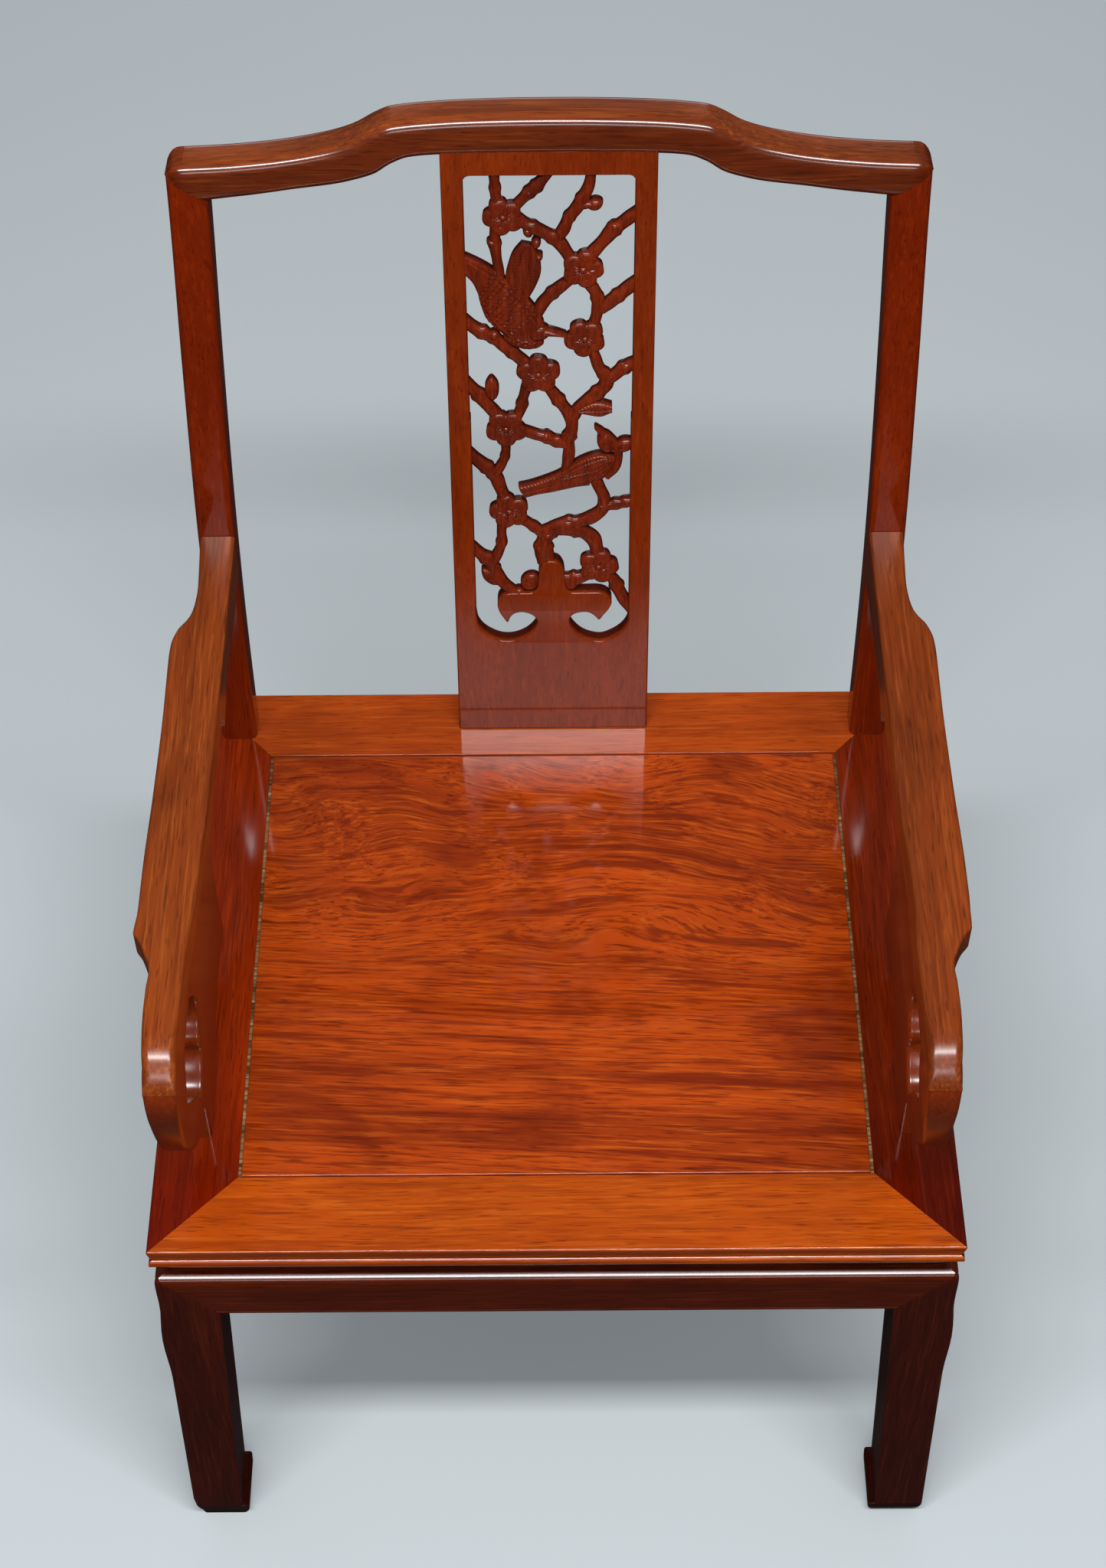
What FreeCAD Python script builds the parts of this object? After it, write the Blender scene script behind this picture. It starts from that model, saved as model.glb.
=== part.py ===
# Carved hardwood armchair with a pierced back splat.
# Lengths are millimetres and angles are degrees.  X runs to the right as seen from the
# front, Y runs to the back, Z is up, and the origin is on the floor under the chair's middle.

import FreeCAD, Part
import math
import os
from types import SimpleNamespace

import Sketcher
from FreeCAD import Placement, Rotation, Vector

os.makedirs("parts", exist_ok=True)

# Driving dimensions
SIZES = {
    # seat frame
    "seat_width": 560.0,
    "seat_depth": 500.0,
    "seat_height": 442.0,
    "frame_thickness": 26.0,
    "front_rail_width": 59.0,
    "side_rail_width": 59.0,
    "back_rail_width": 63.0,
    "edge_band_height": 13.4,
    "edge_step": 1.6,
    "edge_lower_height": 10.6,
    "arris_chamfer": 0.8,
    # floating seat panel and the battens under it
    "panel_thickness": 14.0,
    "panel_side_gap": 1.2,
    "panel_end_gap": 0.7,
    "groove_depth": 9.0,
    "tongue_length": 7.0,
    "tongue_thickness": 5.5,
    "tongue_drop": 8.0,
    "groove_clearance": 0.25,
    "batten_width": 32.0,
    "batten_thickness": 15.0,
    "batten_spacing": 190.0,
    "batten_tenon_width": 20.0,
    "batten_tenon_length": 12.0,
    "batten_tenon_thickness": 7.0,
    # waist under the seat frame
    "waist_inset": 14.0,
    "waist_height": 18.0,
    "waist_thickness": 8.0,
    # aprons
    "apron_height": 51.0,
    "apron_thickness": 20.0,
    "apron_front_inset": 3.2,
    "apron_side_proud": 2.0,
    "apron_round": 8.2,
    "bead_height": 3.2,
    "bead_depth": 1.2,
    # legs
    "leg_width": 42.0,
    "leg_depth": 42.6,
    "leg_foot_width": 38.5,
    "leg_foot_depth": 41.3,
    "leg_splay": 11.6,
    "leg_splay_deep": 3.0,
    "hoof_height": 18.0,
    "hoof_reach": 6.0,
    "foot_bevel_height": 16.0,
    "foot_bevel_width": 4.5,
    "stem_clearance": 0.3,
    "leg_tenon_inset": 3.0,
    "leg_tenon_height": 10.0,
    # joints
    "joint_clearance": 0.2,
    "mortise_extra_depth": 1.0,
    "cut_overrun": 5.0,
    # back posts
    "post_width": 27.0,
    "post_round": 4.5,
    "post_side_inset": 46.8,
    "post_convergence": 8.0,
    "post_back_inset": 45.9,
    "post_arm_bend": 11.9,
    "post_tenon_width": 14.0,
    "post_tenon_height": 11.5,
    # crest rail, in the plane of the leaning back
    "crest_depth": 33.0,
    "crest_proud": 2.2,
    "crest_round": 8.5,
    "back_height": 543.1,
    "crest_tenon_width": 12.0,
    # splat, in the plane of the leaning back
    "splat_width": 145.0,
    "splat_thickness": 12.0,
    "splat_back_inset": 37.3,
    "splat_housing": 8.0,
    "carving_inset": 2.0,
    # arms and their pierced supports
    "arm_height": 217.0,
    "arm_paddle_width": 38.0,
    "arm_tenon_width": 12.0,
    "arm_tenon_height": 22.0,
    "arm_tenon_length": 13.0,
    "support_thickness": 18.0,
    "support_side_inset": 39.0,
    "support_tenon_length": 45.0,
    "support_tenon_height": 12.0,
    "support_tongue_length": 230.0,
    "support_tongue_height": 6.0,
    "support_tenon_thickness": 8.0,
}
BACK_LEAN_DEGREES = 6.92
LEAN_SIN = math.sin(math.radians(BACK_LEAN_DEGREES))
LEAN_COS = math.cos(math.radians(BACK_LEAN_DEGREES))

doc = FreeCAD.newDocument("carved_armchair")
sheet = doc.addObject("Spreadsheet::Sheet", "Sizes")
for row, (name, value) in enumerate(SIZES.items(), start=1):
    sheet.set(f"A{row}", name)
    sheet.set(f"B{row}", str(value))
    sheet.setAlias(f"B{row}", name)
doc.recompute()


class Size:
    """A length that carries its value and the sheet expression it comes from."""

    def __init__(self, value, text):
        self.value = value
        self.text = text

    def __add__(self, other):
        return Size(self.value + other.value, f"({self.text} + {other.text})")

    def __sub__(self, other):
        return Size(self.value - other.value, f"({self.text} - {other.text})")

    def __neg__(self):
        return Size(-self.value, f"(-1 * {self.text})")

    def __mul__(self, factor):
        return Size(self.value * factor, f"({self.text} * {factor})")

    def __truediv__(self, divisor):
        return Size(self.value / divisor, f"({self.text} / {divisor})")

    __rmul__ = __mul__


S = SimpleNamespace(**{name: Size(sheet.get(name), f"Sizes.{name}") for name in SIZES})
ZERO = S.seat_width * 0

# Main places.  The seat's front edge and the crest's back share the depth evenly.
splat_setback = S.seat_depth - S.splat_back_inset
post_setback = S.seat_depth - S.post_back_inset
crest_back = (splat_setback + (S.back_height - S.crest_round) * LEAN_SIN
              + (S.crest_depth - S.crest_proud - S.crest_round) * LEAN_COS + S.crest_round)
front = -(crest_back / 2)
back = front + S.seat_depth
half_width = S.seat_width / 2
post_half_gap = half_width - S.post_side_inset
support_inner = half_width - S.support_side_inset
seat_top = S.seat_height
frame_bottom = seat_top - S.frame_thickness
waist_bottom = frame_bottom - S.waist_height
apron_bottom = waist_bottom - S.apron_height
panel_front = front + S.front_rail_width
panel_back = back - S.back_rail_width
panel_half = half_width - S.side_rail_width
groove_top = seat_top - S.tongue_drop + S.groove_clearance
groove_bottom = seat_top - S.tongue_drop - S.tongue_thickness - S.groove_clearance


# Building helpers
def origin_plane(body, role):
    """The origin plane of a body that plays the given role."""
    for feature in body.Origin.OriginFeatures:
        if feature.Role == role:
            return feature
    raise RuntimeError("no plane " + role)


def new_body(label):
    """An empty body with a label."""
    body = doc.addObject("PartDesign::Body", label)
    body.Label = label
    return body


def outline(body, name, role, wires, offset=ZERO):
    """A sketch of closed straight-edged wires whose corners are bound to the sheet."""
    sketch = body.newObject("Sketcher::SketchObject", name)
    sketch.AttachmentSupport = [(origin_plane(body, role), "")]
    sketch.MapMode = "FlatFace"
    sketch.setExpression("AttachmentOffset.Base.z", offset.text)
    first = 0
    places = []
    for points in wires:
        count = len(points)
        corners = [Vector(a.value, b.value, 0) for a, b in points]
        lines = [Part.LineSegment(corners[i], corners[(i + 1) % count]) for i in range(count)]
        sketch.addGeometry(lines, False)
        joins = []
        for i in range(count):
            joins.append(Sketcher.Constraint("Coincident", first + i, 2, first + (i + 1) % count, 1))
        sketch.addConstraint(joins)
        places.extend((first + i, points[i]) for i in range(count))
        first += count
    for line, (a, b) in places:
        across = sketch.addConstraint(Sketcher.Constraint("DistanceX", -1, 1, line, 1, a.value))
        sketch.setExpression(f"Constraints[{across}]", a.text)
        up = sketch.addConstraint(Sketcher.Constraint("DistanceY", -1, 1, line, 1, b.value))
        sketch.setExpression(f"Constraints[{up}]", b.text)
    return sketch


def pad(body, name, sketch, length, reverse=False):
    """Pad a sketch by a bound length."""
    feature = body.newObject("PartDesign::Pad", name)
    feature.Profile = sketch
    feature.Reversed = reverse
    feature.setExpression("Length", length.text)
    sketch.Visibility = False
    return feature


def cut_through(body, name, sketch):
    """Pocket a sketch right through the body, against the sketch's normal."""
    feature = body.newObject("PartDesign::Pocket", name)
    feature.Profile = sketch
    feature.Type = "ThroughAll"
    sketch.Visibility = False
    return feature


def box(label, corner, extent):
    """A box bound to the sheet, from its lowest corner and its three extents."""
    solid = doc.addObject("Part::Box", label)
    solid.Label = label
    for axis, size in zip(("Length", "Width", "Height"), extent):
        solid.setExpression(axis, size.text)
    for axis, size in zip("xyz", corner):
        solid.setExpression(f"Placement.Base.{axis}", size.text)
    return solid


def cut(label, base, tools):
    """The base with every tool cut away, as one node."""
    feature = base
    for number, tool in enumerate(tools):
        step = doc.addObject("Part::Cut", f"{label}_cut_{number}")
        step.Base = feature
        step.Tool = tool
        feature = step
    feature.Label = label
    return feature


def shape_node(label, shape):
    """A node with a free-form shape worked out from the sheet's values."""
    feature = doc.addObject("Part::Feature", label)
    feature.Label = label
    feature.Shape = shape
    return feature


NODES = []


def keep(feature):
    """Count a feature among the nodes that are written out."""
    NODES.append(feature)
    return feature


# Mortise boxes for the joints in the seat frame
def leg_corner(side, end):
    """Outer corner of a leg's top in plan: x sign, y sign, x and y of the leg's outer faces."""
    x = (half_width + S.apron_side_proud) * side
    y = front + S.apron_front_inset if end < 0 else back - S.apron_front_inset
    return x, y


def span(a, b):
    """Lowest value and extent between two sizes."""
    if a.value <= b.value:
        return a, b - a
    return b, a - b


def stem_box(label, side, end, inset, low, high, grow):
    """The leg's stem or tenon, or its mortise when grown by a clearance."""
    outer_x = (half_width - S.waist_inset - S.waist_thickness - S.stem_clearance - inset + grow) * side
    inner_x = (half_width + S.apron_side_proud - S.leg_width + inset - grow) * side
    if end < 0:
        outer_y = front + S.waist_inset + S.waist_thickness + S.stem_clearance + inset - grow
        inner_y = front + S.apron_front_inset + S.leg_depth - inset + grow
    else:
        outer_y = back - S.waist_inset - S.waist_thickness - S.stem_clearance - inset + grow
        inner_y = back - S.apron_front_inset - S.leg_depth + inset - grow
    x, extent_x = span(outer_x, inner_x)
    y, extent_y = span(outer_y, inner_y)
    return box(label, (x, y, low), (extent_x, extent_y, high - low))


CORNERS = {"front_left": (-1, -1), "front_right": (1, -1), "back_left": (-1, 1), "back_right": (1, 1)}


# Aprons, mitred to each other and over the legs' shoulders
def apron_section(outer, inward):
    """Section of an apron from its outer face inward; inward is plus or minus one."""
    top = waist_bottom
    low = apron_bottom
    steps = 5
    points = []
    for i in range(steps + 1):
        angle = math.pi / 2 * i / steps
        reach = S.apron_round * (1 - math.sin(angle))
        drop = S.apron_round * (1 - math.cos(angle))
        points.append((outer + reach * inward, top - drop))
    points.append((outer, low + S.bead_height + S.bead_depth))
    points.append((outer + S.bead_depth * inward, low + S.bead_height))
    points.append((outer, low + S.bead_height - S.bead_depth))
    points.append((outer, low + S.bead_depth))
    points.append((outer + S.bead_depth * inward, low))
    points.append((outer + S.apron_thickness * inward, low))
    points.append((outer + S.apron_thickness * inward, top))
    return points


def shoulder_cut(body, name, role, outer, inward, width, offset):
    """Cut an apron's end along the slanted mitre over the leg, seen square to the apron."""
    more = S.cut_overrun
    inner = outer + width * inward
    wires = [[(outer - more * inward, waist_bottom + more * (S.apron_height.value / width.value)),
              (inner, apron_bottom),
              (inner, apron_bottom - more),
              (outer - more * inward, apron_bottom - more)]]
    sketch = outline(body, name + "_outline", role, wires, offset)
    cut_through(body, name, sketch)


def plan_cut(body, name, corner_x, corner_y, side, end, keep_front):
    """Cut an end along the upright mitre in plan between two pieces that meet at a corner."""
    more = S.cut_overrun
    reach = S.leg_width
    x0 = corner_x + more * side
    y0 = corner_y + more * end
    x1 = corner_x - reach * side
    y1 = corner_y - reach * end
    third = (x0, y1) if keep_front else (x1, y0)
    sketch = outline(body, name + "_outline", "XY_Plane", [[(x0, y0), (x1, y1), third]], seat_top)
    cut_through(body, name, sketch)


def make_apron_across(label, end):
    """The front or back apron, whose length lies along X."""
    outer = front + S.apron_front_inset if end < 0 else back - S.apron_front_inset
    reach = half_width + S.apron_side_proud
    body = new_body(label)
    sketch = outline(body, label + "_section", "YZ_Plane", [apron_section(outer, -end)], -reach)
    pad(body, label + "_length", sketch, reach * 2)
    for side in (-1, 1):
        name = f"{label}_{'left' if side < 0 else 'right'}"
        shoulder_cut(body, name + "_shoulder", "XZ_Plane", reach * side, -side, S.leg_width, S.seat_depth)
        plan_cut(body, name + "_mitre", reach * side, outer, side, end, True)
    return keep(body)


def make_apron_along(label, side):
    """A side apron, whose length lies along Y."""
    outer = (half_width + S.apron_side_proud) * side
    low = front + S.apron_front_inset
    high = back - S.apron_front_inset
    body = new_body(label)
    sketch = outline(body, label + "_section", "XZ_Plane", [apron_section(outer, -side)], -low)
    pad(body, label + "_length", sketch, high - low, reverse=True)
    for end, place in ((-1, low), (1, high)):
        name = f"{label}_{'front' if end < 0 else 'back'}"
        shoulder_cut(body, name + "_shoulder", "YZ_Plane", place, -end, S.leg_depth, S.seat_width)
        plan_cut(body, name + "_mitre", outer, place, side, end, False)
    return keep(body)


APRONS = {
    "front": make_apron_across("front_apron", -1),
    "back": make_apron_across("back_apron", 1),
    "left": make_apron_along("left_apron", -1),
    "right": make_apron_along("right_apron", 1),
}


# Legs with a small inward hoof
HOOF_HEEL_SHARE = 0.7
HOOF_LIFT_SHARE = 0.25


def leg_outline(outer, inward, splay, width, foot_width):
    """One view of a leg, from its outer face inward, down to the hoof."""
    top = waist_bottom
    steps = 5
    floor = ZERO
    points = []
    for i in range(steps + 1):
        angle = math.pi / 2 * i / steps
        reach = S.apron_round * (1 - math.sin(angle))
        drop = S.apron_round * (1 - math.cos(angle))
        points.append((outer + reach * inward, top - drop))
    foot_outer = outer - splay * inward
    foot_inner = foot_outer + foot_width * inward
    points.append((outer, apron_bottom))
    points.append((foot_outer, floor + S.foot_bevel_height))
    points.append((foot_outer + S.foot_bevel_width * inward, floor))
    points.append((foot_inner + S.hoof_reach * (HOOF_HEEL_SHARE * inward), floor))
    points.append((foot_inner + S.hoof_reach * inward, floor + S.hoof_height * HOOF_LIFT_SHARE))
    points.append((foot_inner + S.hoof_reach * inward, floor + S.hoof_height))
    points.append((foot_inner, floor + S.hoof_height))
    points.append((outer + width * inward, apron_bottom))
    points.append((outer + width * inward, top))
    return points


def make_leg(label, side, end):
    """A leg from its two outlines, with its shoulder cut for the aprons and a tenon on top."""
    outer_x, outer_y = leg_corner(side, end)
    body = new_body(label + "_body")
    reach = S.leg_depth + S.hoof_reach + S.cut_overrun
    low_y, extent_y = span(outer_y + S.leg_splay_deep * end, outer_y - reach * end)
    wires = [leg_outline(outer_x, -side, S.leg_splay, S.leg_width, S.leg_foot_width)]
    view = outline(body, label + "_front_view", "XZ_Plane", wires, -low_y)
    pad(body, label + "_depth", view, extent_y, reverse=True)
    more = S.leg_width
    frame_y, frame_extent = span(outer_y + more * end, outer_y - (reach + more) * end)
    ring = [(frame_y, -more), (frame_y + frame_extent, -more),
            (frame_y + frame_extent, seat_top), (frame_y, seat_top)]
    wires = [ring, leg_outline(outer_y, -end, S.leg_splay_deep, S.leg_depth, S.leg_foot_depth)]
    view = outline(body, label + "_side_view", "YZ_Plane", wires, S.seat_width)
    cut_through(body, label + "_side_cut", view)
    names = ("front" if end < 0 else "back", "left" if side < 0 else "right")
    shoulder = cut(label + "_shoulder", body, [APRONS[name] for name in names])
    stem = stem_box(label + "_stem", side, end, ZERO, waist_bottom, frame_bottom, ZERO)
    tenon = stem_box(label + "_tenon", side, end, S.leg_tenon_inset, frame_bottom,
                     frame_bottom + S.leg_tenon_height, ZERO)
    leg = doc.addObject("Part::MultiFuse", label)
    leg.Shapes = [shoulder, stem, tenon]
    leg.Label = label
    return keep(leg)


for name, (side, end) in CORNERS.items():
    make_leg(name + "_leg", side, end)


# Waist strips
def make_waist_across(label, end):
    """The front or back waist strip."""
    outer = front + S.waist_inset if end < 0 else back - S.waist_inset
    reach = half_width - S.waist_inset
    low, extent = span(outer, outer - S.waist_thickness * end)
    body = new_body(label)
    section = [(low, waist_bottom), (low + extent, waist_bottom),
               (low + extent, frame_bottom), (low, frame_bottom)]
    sketch = outline(body, label + "_section", "YZ_Plane", [section], -reach)
    pad(body, label + "_length", sketch, reach * 2)
    for side in (-1, 1):
        name = f"{label}_mitre_{'left' if side < 0 else 'right'}"
        plan_cut(body, name, reach * side, outer, side, end, True)
    return keep(body)


def make_waist_along(label, side):
    """A side waist strip."""
    outer = (half_width - S.waist_inset) * side
    low = front + S.waist_inset
    high = back - S.waist_inset
    left, extent = span(outer, outer - S.waist_thickness * side)
    body = new_body(label)
    section = [(left, waist_bottom), (left + extent, waist_bottom),
               (left + extent, frame_bottom), (left, frame_bottom)]
    sketch = outline(body, label + "_section", "XZ_Plane", [section], -low)
    pad(body, label + "_length", sketch, high - low, reverse=True)
    for end, place in ((-1, low), (1, high)):
        plan_cut(body, f"{label}_mitre_{'front' if end < 0 else 'back'}", outer, place, side, end, False)
    return keep(body)


make_waist_across("front_waist", -1)
make_waist_across("back_waist", 1)
make_waist_along("left_waist", -1)
make_waist_along("right_waist", 1)

# Seat frame: four moulded rails mitred at the corners
EDGE_TURN_SHARE = 1.6
EDGE_DROP_SHARE = 0.8
EDGE_FOOT_SHARE = 0.86


def rail_section(outer, inward, width):
    """Section of a seat rail from its outer face inward, with the panel's groove."""
    top = seat_top
    step_low = top - S.edge_band_height
    low = step_low - S.edge_lower_height
    inner = outer + width * inward
    deep = inner - S.groove_depth * inward
    chamfer = S.arris_chamfer
    return [(outer + chamfer * inward, top),
            (outer, top - chamfer),
            (outer, step_low),
            (outer + S.edge_step * inward, step_low),
            (outer + S.edge_step * inward, low),
            (outer + S.edge_step * (EDGE_TURN_SHARE * inward), low - S.edge_step * EDGE_DROP_SHARE),
            (outer + S.waist_inset * (EDGE_FOOT_SHARE * inward), frame_bottom),
            (inner, frame_bottom),
            (inner, groove_bottom),
            (deep, groove_bottom),
            (deep, groove_top),
            (inner, groove_top),
            (inner, top)]


def mitre_wire(corner, inner, side, end, along_x):
    """A triangle that trims a rail past the mitre from its outer corner to its inner one."""
    more = S.cut_overrun
    ratio = abs(inner[1].value - corner[1].value) / abs(inner[0].value - corner[0].value)
    x0 = corner[0] + more * side
    y0 = corner[1] + more * (ratio * end)
    x1 = inner[0] - more * side
    y1 = inner[1] - more * (ratio * end)
    return [(x0, y0), (x1, y1), (x0, y1) if along_x else (x1, y0)]


def make_rail_across(label, end, width):
    """The front or back rail, before its mortises."""
    outer = front if end < 0 else back
    body = new_body(label + "_body")
    sketch = outline(body, label + "_section", "YZ_Plane", [rail_section(outer, -end, width)], -half_width)
    pad(body, label + "_length", sketch, half_width * 2)
    for side in (-1, 1):
        inner = (panel_half * side, outer - width * end)
        wire = mitre_wire((half_width * side, outer), inner, side, end, True)
        trim = outline(body, f"{label}_mitre_{'left' if side < 0 else 'right'}", "XY_Plane", [wire], seat_top)
        cut_through(body, trim.Name + "_cut", trim)
    return body


def make_rail_along(label, side):
    """A side rail, before its mortises."""
    outer = half_width * side
    body = new_body(label + "_body")
    section = rail_section(outer, -side, S.side_rail_width)
    sketch = outline(body, label + "_section", "XZ_Plane", [section], -front)
    pad(body, label + "_length", sketch, S.seat_depth, reverse=True)
    for end, place, width in ((-1, front, S.front_rail_width), (1, back, S.back_rail_width)):
        wire = mitre_wire((outer, place), (panel_half * side, place - width * end), side, end, False)
        trim = outline(body, f"{label}_mitre_{'front' if end < 0 else 'back'}", "XY_Plane", [wire], seat_top)
        cut_through(body, trim.Name + "_cut", trim)
    return body


# The back's points are shares: x in 145ths of the splat's width, height in 543.1ths of the back's height.
SPLAT_WIDTH_SHARE = 1 / 145
BACK_HEIGHT_SHARE = 1 / 543.1
splat_unit = S.splat_width * SPLAT_WIDTH_SHARE
back_unit = S.back_height * BACK_HEIGHT_SHARE
SPLAT_TOP_SHARE = 522.0
splat_top = back_unit * SPLAT_TOP_SHARE


def leaned(feature, x, across, along):
    """Place a feature in the plane of the leaning back: x, depth behind its face, length up it."""
    y = front + splat_setback + across * LEAN_COS + along * LEAN_SIN
    z = seat_top + along * LEAN_COS - across * LEAN_SIN
    feature.Placement = Placement(Vector(0, 0, 0), Rotation(Vector(1, 0, 0), -BACK_LEAN_DEGREES))
    for axis, size in zip("xyz", (x, y, z)):
        feature.setExpression(f"Placement.Base.{axis}", size.text)
    return feature


def grown_box(label, corner, extent, clearance, deeper):
    """A mortise round a tenon's box: clearance on all sides and more depth along Z or Y."""
    low = []
    size = []
    for axis in range(3):
        low.append(corner[axis] - clearance - deeper[axis][0])
        size.append(extent[axis] + clearance * 2 + deeper[axis][0] + deeper[axis][1])
    return box(label, tuple(low), tuple(size))


NO_EXTRA = (ZERO, ZERO)
MORTISE_DOWN = (NO_EXTRA, NO_EXTRA, (S.mortise_extra_depth, S.cut_overrun))

leg_mortises = {}
for name, (side, end) in CORNERS.items():
    mortise_low = frame_bottom - S.cut_overrun
    mortise_high = frame_bottom + S.leg_tenon_height + S.mortise_extra_depth
    leg_mortises[name] = stem_box(name + "_leg_mortise", side, end, S.leg_tenon_inset, mortise_low, mortise_high,
                                  S.joint_clearance)

# Post tenons and their mortises in the seat corners
post_front = front + post_setback
post_tenons = {}
post_mortises = {}
for name, side in (("left", -1), ("right", 1)):
    inset = (S.post_width - S.post_tenon_width) / 2
    start = post_half_gap + inset
    x, extent_x = span(start * side, (start + S.post_tenon_width) * side)
    corner = (x, post_front + inset, seat_top - S.post_tenon_height)
    extent = (extent_x, S.post_tenon_width, S.post_tenon_height)
    taller = (extent_x, S.post_tenon_width, S.post_tenon_height + S.cut_overrun)
    post_tenons[name] = box(name + "_post_foot_tenon", corner, taller)
    post_mortises[name] = grown_box(name + "_post_mortise", corner, extent, S.joint_clearance, MORTISE_DOWN)

# Support tenons and their mortises in the side rails
# The arms' points are shares: x in 38ths of the paddle's width from the seat's side, y in 466ths of
# the reach from the seat's front to the post, and height in 217ths of the arm's height.
PADDLE_WIDTH_SHARE = 1 / 38
ARM_REACH_SHARE = 1 / 466
ARM_HEIGHT_SHARE = 1 / 217
across_unit = S.arm_paddle_width * PADDLE_WIDTH_SHARE
reach_unit = (post_setback + S.post_arm_bend) * ARM_REACH_SHARE
rise_unit = S.arm_height * ARM_HEIGHT_SHARE
TENON_START_SHARE = 98
TONGUE_START_SHARE = 76
support_tenons = {}
support_mortises = {}
support_tongues = {}
arm_grooves = {}
JOINT_HEIGHT_SHARE = 195
joint_height = seat_top + rise_unit * JOINT_HEIGHT_SHARE
for name, side in (("left", -1), ("right", 1)):
    near = support_inner + (S.support_thickness - S.support_tenon_thickness) / 2
    x, extent_x = span(near * side, (near + S.support_tenon_thickness) * side)
    corner = (x, front + reach_unit * TENON_START_SHARE, seat_top - S.support_tenon_height)
    extent = (extent_x, S.support_tenon_length, S.support_tenon_height)
    taller = (extent_x, S.support_tenon_length, S.support_tenon_height + S.cut_overrun)
    support_tenons[name] = box(name + "_support_tenon", corner, taller)
    support_mortises[name] = grown_box(name + "_support_mortise", corner, extent, S.joint_clearance,
                                       MORTISE_DOWN)
    corner = (x, front + reach_unit * TONGUE_START_SHARE, joint_height - S.cut_overrun)
    extent = (extent_x, S.support_tongue_length, S.support_tongue_height + S.cut_overrun)
    support_tongues[name] = box(name + "_support_tongue", corner, extent)
    upward = (NO_EXTRA, NO_EXTRA, (ZERO, S.mortise_extra_depth))
    arm_grooves[name] = grown_box(name + "_arm_groove", corner, extent, S.joint_clearance, upward)

# Battens and their mortises in the front and back rails
panel_bottom = seat_top - S.panel_thickness
batten_bottom = panel_bottom - S.batten_thickness
batten_mortises = []
battens = {}
for name, side in (("left", -1), ("right", 1)):
    middle = S.batten_spacing / 2 * side
    bar = box(name + "_batten_bar", (middle - S.batten_width / 2, panel_front, batten_bottom),
              (S.batten_width, panel_back - panel_front, S.batten_thickness))
    tenon_low = panel_bottom - S.edge_step - S.batten_tenon_thickness
    corner = (middle - S.batten_tenon_width / 2, panel_front - S.batten_tenon_length, tenon_low)
    extent = (S.batten_tenon_width, panel_back - panel_front + S.batten_tenon_length * 2,
              S.batten_tenon_thickness)
    tongue = box(name + "_batten_tenons", corner, extent)
    endways = (NO_EXTRA, (S.mortise_extra_depth, S.mortise_extra_depth), NO_EXTRA)
    batten_mortises.append(grown_box(name + "_batten_mortise", corner, extent, S.joint_clearance, endways))
    batten = doc.addObject("Part::MultiFuse", name + "_batten")
    batten.Shapes = [bar, tongue]
    batten.Label = name + "_batten"
    keep(batten)

# The splat's housing in the back rail
splat_slot = leaned(doc.addObject("Part::Box", "splat_slot"), -(S.splat_width / 2) - S.joint_clearance,
                    -S.joint_clearance, -S.splat_housing - S.mortise_extra_depth)
splat_slot.setExpression("Length", (S.splat_width + S.joint_clearance * 2).text)
splat_slot.setExpression("Width", (S.splat_thickness + S.joint_clearance * 2).text)
splat_slot.setExpression("Height", (S.splat_housing + S.mortise_extra_depth + S.cut_overrun).text)

front_rail = make_rail_across("front_rail", -1, S.front_rail_width)
back_rail = make_rail_across("back_rail", 1, S.back_rail_width)
left_rail = make_rail_along("left_rail", -1)
right_rail = make_rail_along("right_rail", 1)
keep(cut("seat_front_rail", front_rail,
         [leg_mortises["front_left"], leg_mortises["front_right"], *batten_mortises]))
keep(cut("seat_back_rail", back_rail,
         [leg_mortises["back_left"], leg_mortises["back_right"],
          post_mortises["left"], post_mortises["right"], splat_slot, *batten_mortises]))
keep(cut("seat_left_rail", left_rail,
         [leg_mortises["front_left"], leg_mortises["back_left"],
          post_mortises["left"], support_mortises["left"]]))
keep(cut("seat_right_rail", right_rail,
         [leg_mortises["front_right"], leg_mortises["back_right"],
          post_mortises["right"], support_mortises["right"]]))

# Floating panel: its tongue rests on the lower wall of the groove
field = box("panel_field", (S.panel_side_gap - panel_half, panel_front + S.panel_end_gap, panel_bottom),
            (panel_half * 2 - S.panel_side_gap * 2, panel_back - panel_front - S.panel_end_gap * 2,
             S.panel_thickness))
reach = S.tongue_length
tongue = box("panel_tongue",
             (S.panel_side_gap - panel_half - reach, panel_front + S.panel_end_gap - reach, groove_bottom),
             (panel_half * 2 - S.panel_side_gap * 2 + reach * 2,
              panel_back - panel_front - S.panel_end_gap * 2 + reach * 2, S.tongue_thickness))
panel = doc.addObject("Part::MultiFuse", "seat_panel")
panel.Shapes = [field, tongue]
panel.Label = "seat_panel"
keep(panel)


# Back posts: lofted through bent, converging sections
def rounded_corners(low_a, high_a, low_b, high_b, radius):
    """Corners of a rectangle with each corner taken round in three flats."""
    points = []
    corners = ((high_a, low_b, 1, -1), (high_a, high_b, 1, 1),
               (low_a, high_b, -1, 1), (low_a, low_b, -1, -1))
    for index, (a, b, sign_a, sign_b) in enumerate(corners):
        for step in range(4):
            angle = math.radians(90 * (index - 1) + 30 * step)
            points.append((a - radius * sign_a + radius * math.cos(angle),
                           b - radius * sign_b + radius * math.sin(angle)))
    return points


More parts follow.
